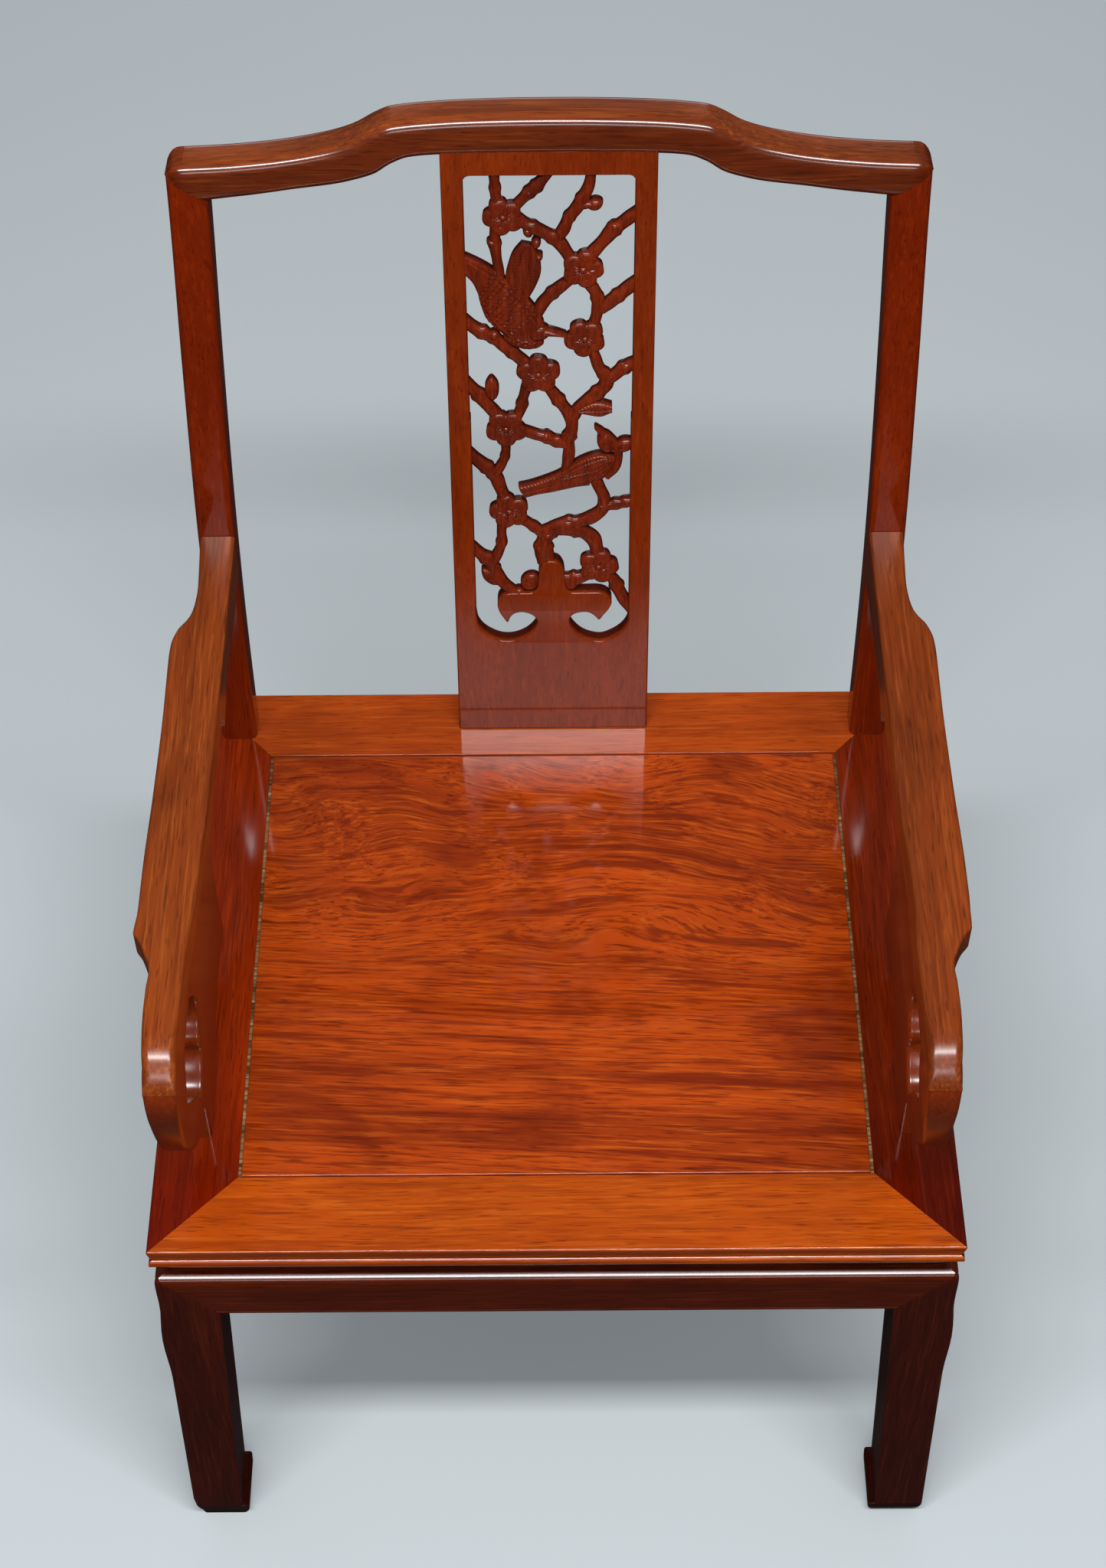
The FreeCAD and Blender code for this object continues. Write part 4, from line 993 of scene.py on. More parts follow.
@dataclass
class Base:
    """Aprons with a rounded brow and a bead, and legs with small inward hoofs.

    The brow is the curve of the aprons' top and of the legs' heads, as distance inwards and height.
    The apron's foot is its profile below the brow, as distance inwards and height over its bottom.
    """

    waist_z: float = -44.0
    apron_height: float = 51.0
    apron_thickness: float = 20.0
    apron_foot: list[Point] = field(default_factory=lambda: [
        (0.0, 4.9), (0.8, 4.4), (0.8, 3.8), (0.0, 3.0), (0.1, 1.3), (0.8, 0.0)])
    apron_radii: list[float] = field(default_factory=lambda: [0.0, 0.3, 0.15, 0.15, 0.8, 0.8, 0.6, 0.1, 0.1])
    apron_rows: int = 9
    brow_samples: int = 40
    front_inset: float = 3.2
    foot_inset: float = 0.2
    side_proud: float = 1.0
    leg_width: float = 42.0
    leg_depth: float = 42.6
    foot_width: float = 38.5
    foot_depth: float = 41.3
    splay: float = 12.6
    leg_root: float = 5.8
    leg_swell: float = 2.6
    swell_start: float = -0.06
    swell_length: float = 0.36
    leg_arris: float = 2.4
    hoof_reach: float = 4.4
    hoof_reach_deep: float = 8.6
    hoof_height: float = 18.0
    hoof_lip: float = 0.3
    hoof_step: float = 1.6
    hoof_rows: tuple[float, ...] = (18.3, 18.0, 17.4, 16.4, 14.0, 10.0, 6.0, 3.0, 1.2, 0.4, 0.0)
    toe_draw: float = 1.8
    toe_height: float = 4.0
    foot_bevels: tuple[Point, Point] = ((6.0, 30.0), (4.5, 16.0))
    front_bevel_most: float = 4.5
    brow: list[Point] = field(default_factory=lambda: [
        (12.0, -44.0), (11.0, -45.4), (9.0, -46.2), (6.6, -46.9), (4.6, -47.6), (2.9, -48.3), (1.5, -49.2),
        (0.7, -50.8), (0.3, -54.0), (0.1, -60.0), (0.0, -66.0)])

    def section(self) -> Array:
        """Returns: the apron's closed section, as distance inwards and height."""
        low = self.waist_z - self.apron_height
        corners = [(0.0, self.brow[-1][1] - 1.0), *((inward, low + up) for inward, up in self.apron_foot),
                   (self.apron_thickness, low), (self.apron_thickness, self.waist_z)]
        steps = 8
        lower = round_corners(corners, self.apron_radii, steps)[steps:]
        return np.vstack([smooth_line(self.brow, self.brow_samples), lower])

    def trimmed(self, length: float, leg: float, inward: Array, height: Array) -> Array:
        """Where each point of a section meets the mitres at an end.

        The lesser of the slanted shoulder over the leg, one leg's width in over the apron's height,
        and the upright mitre to the next apron.

        Args:
            length: distance from the middle to the corner.
            leg: how much of the apron the leg takes up at its bottom.
            inward: distance of each point behind the apron's face.
            height: height of each point.
        Returns: the distance from the middle of each point of the end.
        """
        shoulder = length - leg * (self.waist_z - height) / self.apron_height
        return np.minimum(shoulder, length - np.maximum(inward, 0)) - MITRE_GAP

    def apron(self, name: str, face: float, sign: float, length: float, middle: float,
              turned: bool) -> bpy.types.Object:
        """An apron, its section drawn out between its mitres.

        Args:
            name: the piece's name.
            face: place of its outer face.
            sign: 1 where inwards is towards higher numbers.
            length: half its length between the corners.
            middle: place of its middle along its length.
            turned: whether it runs along y.
        Returns: the object.
        """
        inward, height = self.section().T
        reach = self.trimmed(length, self.leg_depth if turned else self.leg_width, inward, height)
        share = np.linspace(-1, 1, self.apron_rows)[:, None]
        along, place, z = np.broadcast_arrays(middle + share * reach, face + sign * inward, height)
        grid = np.stack([place, along, z] if turned else [along, place, z], axis=-1)
        return skin(name, grid, Cap.FACE)

    def leg(self, name: str, side: float, end: float) -> bpy.types.Object:
        """A leg: a rounded oblong that grows from the corner along the mitres, then tapers to the hoof.

        At a depth d under the waist, over the aprons' height, the oblong's inner sides lie the leg's
        width or depth times d over that height from the corner, and its outer sides follow the
        aprons' brow.  Below, the outer faces splay and the sizes fall by straight lines, the outer
        side swells a little just under the apron, and the hoof steps inwards near the floor while
        the outer corner draws in.

        Args:
            name: the piece's name.
            side: -1 for left, 1 for right.
            end: -1 for front, 1 for back.
        Returns: the object.
        """
        low = self.waist_z - self.apron_height
        start = self.brow[0][1] - self.leg_root
        height = np.concatenate([np.linspace(start, self.brow[-1][1], 14), np.linspace(low + 26, low, 6),
                                 np.linspace(low, FLOOR_Z + self.hoof_height + 1, 24)[1:],
                                 FLOOR_Z + np.array(self.hoof_rows)])
        depth = self.waist_z - height
        brow = smooth_line(self.brow, 80)
        reach = np.interp(depth, self.waist_z - brow[:, 1], brow[:, 0])
        down = (low - height) / (low - FLOOR_Z)
        under = np.clip(down, 0, 1)
        swell_share = np.clip((down - self.swell_start) / self.swell_length, 0, 1)
        swell = self.leg_swell * np.sin(math.pi * swell_share)**2
        grown = np.minimum(depth / self.apron_height, 1)
        width = self.leg_width * grown - (self.leg_width - self.foot_width) * under
        deep = self.leg_depth * grown - (self.leg_depth - self.foot_depth) * under
        above = height - FLOOR_Z
        bevel_reach, bevel_height = self.foot_bevels[0 if side < 0 else 1]
        bevel = bevel_reach * np.clip(1 - above / bevel_height, 0, 1)**1.6
        step = ease((self.hoof_height + self.hoof_lip - above) / self.hoof_step)
        toe = self.toe_draw * np.clip(1 - above / self.toe_height, 0, 1)**2
        hoof, hoof_deep = self.hoof_reach * step - toe, self.hoof_reach_deep * step - toe
        corner_x = SEAT_HALF + self.side_proud + self.splay * under + swell
        corner_y = self.front_inset + (self.foot_inset - self.front_inset) * under
        x_low, x_high = corner_x - swell - width - hoof, corner_x - reach - bevel
        y_low = corner_y + reach + np.minimum(bevel, self.front_bevel_most)
        y_high = corner_y + deep + hoof_deep
        a, b = bar_ring(x_low, x_high, y_low, y_high, self.leg_arris)
        b = b if end < 0 else SEAT_DEPTH - b
        grid = np.stack(np.broadcast_arrays(side * a, b, height[:, None]), axis=-1)
        return skin(name, grid, Cap.STRIP)

    def build(self, finish: "Finishes") -> None:
        """Builds the pieces and dresses them.

        Args:
            finish: the chair's finishes.
        """
        half_x = SEAT_HALF + self.side_proud
        half_y = SEAT_DEPTH / 2 - self.front_inset
        faces = {"front": (self.front_inset, 1.0), "back": (SEAT_DEPTH - self.front_inset, -1.0)}
        for name, (face, sign) in faces.items():
            board_across = self.apron(f"apron_{name}", face, sign, half_x, 0.0, False)
            dress(board_across, finish.front_apron, (f"{name}_apron",))
        for name, side in SIDES.items():
            board_along = self.apron(f"apron_{name}", side * half_x, -side, half_y, SEAT_DEPTH / 2, True)
            dress(board_along, finish.side_apron, (f"{name}_apron",))
            for end_name, end in (("front", -1.0), ("back", 1.0)):
                leg = self.leg(f"leg_{end_name}_{name}", side, end)
                dress(leg, finish.leg, (f"{end_name}_{name}_leg",))


@dataclass
class BackFrame:
    """Bent back posts and the stepped crest rail that caps them.

    Each line of points gives a place against height for the posts, and height against distance from
    the middle for the crest.  The mitre passes through its own x and height at its slope.
    """

    post_width: float = 27.0
    post_rows: int = 60
    arris: float = 5.0
    crest_proud: float = 2.2
    crest_depth: float = 33.0
    crest_arris: float = 8.5
    end_arris: float = 12.0
    mitre_x: float = 225.92
    mitre_height: float = 480.5
    mitre_slope: float = 0.68
    corner_round: float = 14.0
    end_x: float = 254.4
    end_guess: float = 250.0
    end_top: float = 508.2
    tip_share: float = 0.045
    crest_rows: int = 140
    post_bend: list[Point] = field(default_factory=lambda: [
        (0.0, 454.1), (110.0, 457.2), (217.0, 466.0), (348.5, 490.6), (477.0, 518.4), (515.0, 523.0)])
    post_inner: list[Point] = field(default_factory=lambda: [
        (0.0, 233.2), (110.0, 232.1), (217.0, 230.5), (348.5, 228.4), (476.5, 225.92), (515.0, 225.3)])
    crest_low: list[Point] = field(default_factory=lambda: [
        (0.0, 514.4), (20.0, 514.3), (40.0, 514.1), (60.0, 513.8), (78.0, 513.1), (92.0, 511.6),
        (104.0, 506.7), (115.0, 499.4), (127.0, 495.3), (140.0, 492.2), (154.0, 490.1), (168.0, 488.3),
        (183.0, 486.0), (197.0, 484.0), (212.0, 482.2), (226.0, 480.5), (240.0, 479.1), (254.0, 477.9)])
    crest_high: list[Point] = field(default_factory=lambda: [
        (0.0, 543.1), (20.0, 543.0), (40.0, 542.6), (60.0, 541.9), (78.0, 540.8), (92.0, 539.5),
        (104.0, 537.7), (115.0, 532.9), (127.0, 525.8), (140.0, 521.1), (154.0, 517.7), (168.0, 515.1),
        (183.0, 512.9), (197.0, 511.4), (212.0, 510.1), (226.0, 509.3), (240.0, 508.7), (254.0, 508.1)])

    def post(self, name: str, side: float) -> bpy.types.Object:
        """A post: a rounded square carried up a bent line and cut along the crest's mitre.

        Each edge line stops where its height along the back meets the mitre line, found by stepping
        its height by what is missing a few times.

        Args:
            name: the piece's name.
            side: -1 for left, 1 for right.
        Returns: the object.
        """
        zero = np.zeros(1)
        ring_x, ring_y = bar_ring(zero, zero + self.post_width, zero, zero + self.post_width, self.arris)
        ring_x, ring_y = ring_x[0], ring_y[0]
        top = np.full(len(ring_x), self.mitre_height)
        for _ in range(8):
            x = graph(self.post_inner, top) + ring_x
            y = graph(self.post_bend, top) + ring_y
            up = top * math.cos(LEAN) + (y - SPLAT_SETBACK) * math.sin(LEAN)
            top = top + (self.mitre_height + (x - self.mitre_x) * self.mitre_slope - MITRE_GAP - up)
        height = np.linspace(0, 1, self.post_rows)[:, None] * top
        x = graph(self.post_inner, height.ravel()).reshape(height.shape) + ring_x
        y = graph(self.post_bend, height.ravel()).reshape(height.shape) + ring_y
        return skin(name, np.stack([side * x, y, height], axis=-1), Cap.STRIP)

    def crest(self, name: str) -> bpy.types.Object:
        """The crest: a rounded rectangle carried across, between an underside and a top that both step.

        Each line keeps its distance from the underside or the top that it is nearer to, and runs out to
        the end: the mitre line below, a quarter circle above.  Near the end the section's depth draws in
        by a quarter circle too, so the corner is a soft ball.

        Args:
            name: the piece's name.
        Returns: the object.
        """
        zero = np.zeros(1)
        nominal = self.crest_high[0][1] - self.crest_low[0][1]
        ring_n, ring_v = bar_ring(zero, zero + self.crest_depth, zero, zero + nominal, self.crest_arris)
        ring_n, ring_v = ring_n[0], ring_v[0]
        from_low = ring_v < nominal / 2

        def height_at(x: Array) -> Array:
            """Height along the back of each ring line.

            Args:
                x: the lines' distances from the middle.
            Returns: their heights.
            """
            low = graph(self.crest_low, np.abs(x).ravel()).reshape(x.shape)
            high = graph(self.crest_high, np.abs(x).ravel()).reshape(x.shape)
            return np.where(from_low, low + ring_v, high - (nominal - ring_v))

        end = np.full(len(ring_v), self.end_guess)
        for _ in range(12):
            v = height_at(end)
            mitre = self.mitre_x + (v - self.mitre_height) / self.mitre_slope + MITRE_GAP
            drop = np.clip(v - (self.end_top - self.corner_round), 0, self.corner_round * 0.999)
            corner = self.end_x - self.corner_round + np.sqrt(self.corner_round**2 - drop**2)
            end = 0.5 * end + 0.5 * np.minimum(mitre, corner)
        tip = 1 - self.tip_share * np.linspace(1, 0, 12)**2
        rows = np.concatenate([-tip[::-1], np.linspace(-0.95, 0.95, self.crest_rows), tip])[:, None]
        x = rows * end
        near = np.clip(self.end_arris - (self.end_x - np.abs(x)), 0, self.end_arris)
        draw = self.end_arris - np.sqrt(self.end_arris**2 - near**2)
        middle = self.crest_depth / 2
        depth = middle + (ring_n - middle) * (1 - draw / middle)
        grid = lean_back(x, height_at(x), depth - self.crest_proud)
        return skin(name, grid, Cap.STRIP)

    def build(self, finish: "Finishes") -> None:
        """Builds the pieces and dresses them.

        Args:
            finish: the chair's finishes.
        """
        for name, side in SIDES.items():
            dress(self.post(f"post_{name}", side), finish.post, (f"{name}_back_post",))
        dress(self.crest("crest"), finish.crest, ("crest_rail",))


@dataclass
class Arms:
    """Paddle arms and the pierced scroll boards that hold them up.

    The arm's outer and inner lines, top and underside are pairs of y and place.  The board's outline
    and its tear-shaped opening are pairs of y and height.  The right arm's front leans in a little.
    """

    arris: float = 2.4
    roll_arris: float = 5.2
    under_arris: float = 0.1
    right_lean: float = 3.8
    board_back: float = 318.0
    roll_zone: Point = (28.0, 62.0)
    lean_zone: Point = (96.0, 140.0)
    swell_inner: float = 4.2
    swell_outer: float = 0.9
    swell_zone_y: Point = (30.0, 75.0)
    swell_zone_z: Point = (95.0, 190.0)
    board_lean_y: Point = (96.0, 150.0)
    board_lean_z: Point = (46.0, 166.0)
    board_inner: float = 241.0
    board_outer: float = 259.0
    board_arris: float = 3.0
    outer: list[Point] = field(default_factory=lambda: [
        (3.4, 257.9), (12.0, 257.6), (28.0, 258.8), (52.0, 259.6), (72.0, 259.4), (82.0, 258.7),
        (88.0, 259.2), (96.0, 262.3), (107.0, 266.9), (113.4, 271.1), (114.4, 271.4), (132.0, 270.0),
        (163.0, 270.0), (231.0, 268.6), (293.0, 268.0), (351.0, 268.6), (363.0, 268.0), (376.0, 264.5),
        (385.0, 258.9), (392.0, 256.0), (402.0, 254.2), (416.0, 253.3), (436.0, 254.0), (467.0, 255.5)])
    inner: list[Point] = field(default_factory=lambda: [
        (3.4, 236.6), (12.0, 236.5), (28.0, 237.0), (60.0, 236.0), (100.0, 235.5), (131.0, 233.5),
        (186.0, 231.9), (205.0, 230.7), (467.0, 230.2)])
    top: list[Point] = field(default_factory=lambda: [
        (3.4, 195.6), (5.0, 198.6), (8.0, 202.7), (11.5, 206.3), (15.5, 209.4), (21.0, 212.9), (28.0, 215.4),
        (38.0, 216.8), (50.0, 217.0), (467.0, 217.0)])
    under: list[Point] = field(default_factory=lambda: [
        (3.4, 195.0), (316.0, 195.0), (318.2, 178.8), (330.0, 182.0), (345.0, 185.5), (362.0, 186.0),
        (380.0, 184.6), (420.0, 181.0), (445.0, 178.8), (467.0, 177.2)])
    stretch_start: float = 380.0
    end_low: Point = (461.2, 177.5)
    end_high: Point = (465.4, 217.0)
    outline: list[Point] = field(default_factory=lambda: [
        (91, 0), (91, 38), (88.5, 43.5), (82, 46), (72, 46.5), (62, 49.5), (50, 59), (41, 68), (30, 85),
        (22, 100), (16, 115), (10, 134), (5, 154), (2.5, 166), (1.4, 178), (1.9, 188), (3.6, 195), (6.6, 200),
        (11, 204.4), (18, 208), (317, 208), (318, 178.5), (310, 175.6), (297, 171), (285, 165), (273, 155),
        (262, 140), (255, 125), (250, 107), (248, 88), (247, 66), (249, 40), (247, 34.5), (243, 32.5),
        (237, 33), (215, 35), (195, 36), (184, 34.6), (175, 32), (165, 27), (157, 20), (152, 11), (150, 0)])
    back_corner: Point = (317, 208)
    tear: list[Point] = field(default_factory=lambda: [
        (89, 60), (112, 76), (111, 92), (120, 100), (126, 108), (126, 119), (122, 130), (108, 148), (96, 160),
        (88, 166), (77, 170), (68, 166), (61, 158), (50, 145), (44, 133), (46, 120), (54, 106), (64, 93),
        (78, 76)])

    def arm(self, name: str, side: float) -> bpy.types.Object:
        """An arm: rounded rectangles along y between its inner and outer lines, top and underside.

        Its rows crowd where the lines turn.  Over its last stretch it is drawn out or in along y, to
        end on the post's slanted face.

        Args:
            name: the piece's name.
            side: -1 for left, 1 for right.
        Returns: the object.
        """
        front = self.outer[0][0]
        rows = np.concatenate([front + (50.0 - front) * np.linspace(0, 1, 30)**1.5, np.linspace(52, 82, 14),
                               np.linspace(84, 112, 18), [113.4, 113.9, 114.4, 115.4],
                               np.linspace(118, 314, 40), [316.0, 316.8, 317.6, 318.2, 319.0],
                               np.linspace(322, self.outer[-1][0], 60)])
        inner, outer = graph(self.inner, rows), graph(self.outer, rows)
        under, top = graph(self.under, rows), graph(self.top, rows)
        soft = self.arris + (self.roll_arris - self.arris) * fallen(rows, self.roll_zone)
        below = self.under_arris + (self.arris - self.under_arris) * ease((rows - self.board_back) / 3.0)
        lean = self.right_lean * fallen(rows, self.lean_zone) if side > 0 else 0.0
        a, b = bar_ring(inner - lean, outer - lean, under, top, soft, below)
        share = np.clip((b - self.end_low[1]) / (self.end_high[1] - self.end_low[1]), 0, 1)
        last = self.end_low[0] + (self.end_high[0] - self.end_low[0]) * share
        straight = np.minimum(rows, self.stretch_start)[:, None]
        beyond = np.clip(rows - self.stretch_start, 0, None)[:, None]
        y = straight + beyond * (last - self.stretch_start) / (self.outer[-1][0] - self.stretch_start)
        return skin(name, np.stack([side * a, y, b], axis=-1), Cap.STRIP)

    def support(self, name: str, side: float) -> bpy.types.Object:
        """A support: a pierced board, its inner face swelling towards the arm at the front scroll.

        Args:
            name: the piece's name.
            side: -1 for left, 1 for right.
        Returns: the object.
        """
        hole = smooth_line(self.tear, 90, closed=True)
        mesh = board(name, [self.edge_line(), hole], self.board_outer - self.board_inner, self.board_arris)
        y, z, through = points_of(mesh).T
        swell = risen(z, self.swell_zone_z) * fallen(y, self.swell_zone_y)
        middle = (self.board_inner + self.board_outer) / 2
        inner_side = through < 0
        lean = 0.0
        if side > 0:
            lean = self.right_lean * risen(z, self.board_lean_z) * fallen(y, self.board_lean_y)
        x = middle + through - np.where(inner_side, self.swell_inner, self.swell_outer) * swell - lean
        place_points(mesh, np.stack([side * x, y, z], axis=-1))
        return tidy_object(name, mesh, 2e-5)

    def edge_line(self) -> Array:
        """Returns: the support's outline, smooth between its square corners."""
        points = self.outline
        corner = points.index(self.back_corner)
        front = smooth_line(points[1:corner], 130)
        back = smooth_line(points[corner + 1:], 120)
        return np.vstack([points[:1], front, points[corner:corner + 1], back])

    def build(self, finish: "Finishes") -> None:
        """Builds the pieces and dresses them.

        Args:
            finish: the chair's finishes.
        """
        for name, side in SIDES.items():
            arm_finish = finish.left_arm if side < 0 else finish.right_arm
            dress(self.arm(f"arm_{name}", side), arm_finish, (f"{name}_arm",))
            support = self.support(f"support_{name}", side)
            dress(support, finish.support, (f"{name}_arm_support",))


@dataclass
class Splat:
    """The back splat: a bordered board with an opening for the carving.

    The opening is given in two parts, as pairs of x and height along the back: its cloud-shaped foot,
    and its square top with a radius for each corner.
    """

    half_width: float = 73.8
    half_top: float = 71.7
    top: float = 517.4
    thickness: float = 12.0
    arris: float = 1.3
    opening: list[Point] = field(default_factory=lambda: [
        (-57.6, 118), (-56, 108), (-50.5, 99.5), (-40, 92.8), (-30, 92.2), (-20, 97), (-13, 105.5),
        (-11.5, 112), (-15, 117.5), (-22, 120.5), (-28, 119.5), (-31.5, 116), (-34, 110.5), (-37, 115),
        (-40, 121), (-41.3, 128), (-39.5, 135), (-34, 138.8), (-24, 139.6), (-14, 140.2), (-10.8, 145),
        (-10, 155), (-9, 163), (-5, 169), (0, 170.6), (5, 169), (8.5, 163), (9.6, 155), (10.4, 145),
        (14, 140.2), (24, 139.8), (36, 139.6), (42.5, 136), (45, 129.5), (42.5, 122.5), (39, 117.5),
        (35.5, 112.5), (32.5, 116), (28, 119.7), (22, 120.2), (15.5, 117.5), (13, 112), (15, 105.5),
        (21, 97.5), (28, 93), (37, 91.2), (45, 94.6), (52.5, 101), (57, 109.5), (57.8, 118)])
    opening_top: list[Point] = field(default_factory=lambda: [
        (57.5, 300.0), (57.2, 499.0), (-57.2, 499.0), (-57.5, 300.0)])
    opening_radii: tuple[float, ...] = (0.5, 5.0, 5.0, 0.5)
    foot: float = 0.3

    def frame_board(self, name: str) -> bpy.types.Object:
        """The bordered board with its opening, leaning back.

        Args:
            name: the piece's name.
        Returns: the object.
        """
        upper = round_corners(self.opening_top, self.opening_radii, 6)
        hole = np.vstack([smooth_line(self.opening, 260), upper])
        outer = np.array([(-self.half_width, self.foot), (self.half_width, self.foot),
                          (self.half_top, self.top), (-self.half_top, self.top)])
        mesh = board(name, [outer, hole], self.thickness, self.arris)
        x, v, through = points_of(mesh).T
        place_points(mesh, lean_back(x, v, self.thickness / 2 - through))
        return tidy_object(name, mesh, 2e-5)

    def build(self, finish: "Finishes") -> None:
        """Builds the pieces and dresses them.

        Args:
            finish: the chair's finishes.
        """
        dress(self.frame_board("splat"), finish.splat, ("back_splat",))


class Cut(Enum):
    """The pattern cut into a relief."""

    SMOOTH = "smooth"
    SCALES = "scales"
    QUILLS = "quills"


CARVING_BACK = 8.8


@dataclass(frozen=True)
class Twig:
    """A carved branch: its middle line with half widths, and where along it knots swell.

    The front is the crest's depth behind the splat's face, in mm, as in the other carved forms.
    """

    line: list[Triple]
    knots: tuple[float, ...] = ()
    front: float = 1.3
    row_length: float = 0.9
    girth: float = 1.05
    knot_swell: float = 0.26
    knot_length: float = 2.6
    girth_wave: float = 0.05
    face_wave: float = 0.35
    middle_share: float = 0.55

    def grid(self) -> Array:
        """A half-round bar carried along the line, swelling at its knots.

        Round the bar, the front half is an ellipse from its crest to about half the carving's depth;
        the back half drops almost square to the carving's back.  Each knot adds a bell to the half
        width, and slow waves make the width and the crest uneven.

        Returns: chair millimetres, rows by ring points by 3.
        """
        length = sum(math.dist(a[:2], b[:2]) for a, b in zip(self.line, self.line[1:]))
        rows = int(length / self.row_length) + 6
        x, v, half = smooth_line(self.line, rows).T
        half = half * self.girth
        share = np.linspace(0, 1, rows)
        for knot in self.knots:
            half = half * (1 + self.knot_swell * np.exp(-((share - knot) * length / self.knot_length)**2))
        half = half * (1 + self.girth_wave * np.sin(share * length / 2.9 + self.line[0][0]))
        step = np.stack([np.gradient(x), np.gradient(v)])
        step = step / np.linalg.norm(step, axis=0)
        turn = np.linspace(0, 2 * math.pi, 20, endpoint=False)
        across, up = np.cos(turn), np.sin(turn)
        middle = self.front + (CARVING_BACK - self.front) * self.middle_share
        behind = np.where(up > 0, middle - (middle - self.front) * up,
                          middle + (CARVING_BACK - middle) * np.minimum(1, -1.9 * up)**0.7)
        wave = self.face_wave * np.sin(share * length / 4.1 + self.line[0][1])[:, None] * np.clip(up, 0, 1)
        return lean_back(x[:, None] - step[1][:, None] * half[:, None] * across,
                         v[:, None] + step[0][:, None] * half[:, None] * across, behind + wave)


@dataclass(frozen=True)
class Flower:
    """A five-petalled blossom."""

    x: float
    v: float
    turn: float
    radius: float = 15.0
    front: float = -0.4
    relief: float = 3.6
    petals: int = 5
    petal_place: float = 0.535
    petal_radius: float = 0.465
    petal_dish: float = 0.42
    heart_radius: float = 0.19
    seed_place: float = 0.27

    def grid(self) -> Array:
        """A round grid whose rim is the outline of five overlapping circles.

        With p the angle from the nearest petal's middle, a and b the petals' distance and radius, the
        rim lies at a cos p + sqrt(b b - a a sin p sin p).  Each petal is a dome with a dished middle,
        with fine ribs towards the heart, where a boss stands.

        Returns: chair millimetres, rows by ring points by 3.
        """
        columns = 110
        turn = np.linspace(0, 2 * math.pi, columns, endpoint=False)
        share = np.concatenate([[0.0, 0.03, 0.07, 0.11, 0.145, 0.17, 0.19, 0.21], np.linspace(0.25, 0.93, 24),
                                [0.96, 0.985, 1.0]])[:, None]
        fifth = 2 * math.pi / self.petals
        near = np.mod(turn - math.radians(self.turn) + fifth / 2, fifth) - fifth / 2
        number = np.floor((turn - math.radians(self.turn) + fifth / 2) / fifth)
        far, wide = self.petal_place * self.radius, self.petal_radius * self.radius
        rim = far * np.cos(near) + np.sqrt(wide**2 - (far * np.sin(near))**2)
        rim = rim * (1 + 0.012 * np.sin(9 * turn + self.x) + 0.03 * np.sin(number * 2.4 + self.v))
        reach = share * rim
        along, across = reach * np.cos(near) - far, reach * np.sin(near)
        off = (along**2 + across**2) / wide**2
        petal = np.sqrt(np.clip(1 - off * 0.92, 0, 1)) - self.petal_dish * np.exp(-off / 0.22)
        petal = petal * (1 - 0.35 * np.exp(-(across / 0.55)**2) * (along < 0))
        ribs = 0.07 * np.cos(10 * near) * np.clip(1 - off, 0, 1)
        heart = np.clip(1 - (reach / (self.heart_radius * self.radius))**2, 0, 1)**0.5
        seeds = 0.14 * np.exp(-((reach - self.seed_place * self.radius) / 0.9)**2) * np.cos(12 * turn)
        rise = np.maximum(np.maximum(petal, 0) + ribs + seeds, 0.95 * heart)
        behind = self.front + self.relief * (1 - rise)
        wall = np.minimum(behind[-1:] + np.array([[0.9], [2.2], [4.0]]), CARVING_BACK - 0.4)
        out = np.vstack([reach, rim * np.array([[1.0], [0.995], [0.985], [0.97], [0.3]])])
        depth = np.vstack([behind, wall, np.full((2, columns), CARVING_BACK)])
        return lean_back(self.x + out * np.cos(turn), self.v + out * np.sin(turn), depth)[1:]


@dataclass(frozen=True)
class Mound:
    """A rounded form: a bud, a head, a breast or a knot.

    It lies at x and a height v along the back, with half its length and width, turned by degrees.
    """

    x: float
    v: float
    long: float
    wide: float
    turn: float = 0.0
    front: float = 0.0
    point: float = 0.0
    cut: Cut = Cut.SMOOTH
    scale_depth: float = 1.2
    scale_size: Point = (3.0, 3.4)
    groove_depth: float = 0.45
    groove_place: float = 0.42

    def grid(self) -> Array:
        """A dome over an ellipse, drawn out towards one end, with an upright wall behind.

        Returns: chair millimetres, rows by ring points by 3.
        """
        domed = 18
        turn = np.linspace(0, 2 * math.pi, 56, endpoint=False)
        share = np.linspace(0.06, 1, domed)[:, None]
        reach = np.vstack([share, [[1.0], [1.0], [0.98], [0.4]]])
        dome = np.sqrt(np.clip(1 - reach**2, 0, 1))
        middle = self.front + (CARVING_BACK - self.front) * 0.5
        behind = middle - (middle - self.front) * dome
        behind[domed:] = np.array([[middle + 1.5], [CARVING_BACK - 0.3], [CARVING_BACK], [CARVING_BACK]])
        along = self.long * np.cos(turn) * reach
        across = self.wide * np.sin(turn) * reach * (1 - self.point * np.clip(np.cos(turn), 0, 1)**2 * reach)
        behind = np.broadcast_to(behind, along.shape).copy()
        if self.cut is Cut.SCALES:
            scale_long, scale_wide = self.scale_size
            scales = scallops(along[:domed] / scale_long, across[:domed] / scale_wide)
            behind[:domed] += self.scale_depth * scales
        if self.cut is Cut.QUILLS:
            groove = np.abs(across[:domed]) - self.groove_place * self.wide
            behind[:domed] += self.groove_depth * np.exp(-(groove / 0.5)**2)
        angle = math.radians(self.turn)
        return lean_back(self.x + along * math.cos(angle) - across * math.sin(angle),
                         self.v + along * math.sin(angle) + across * math.cos(angle), behind)


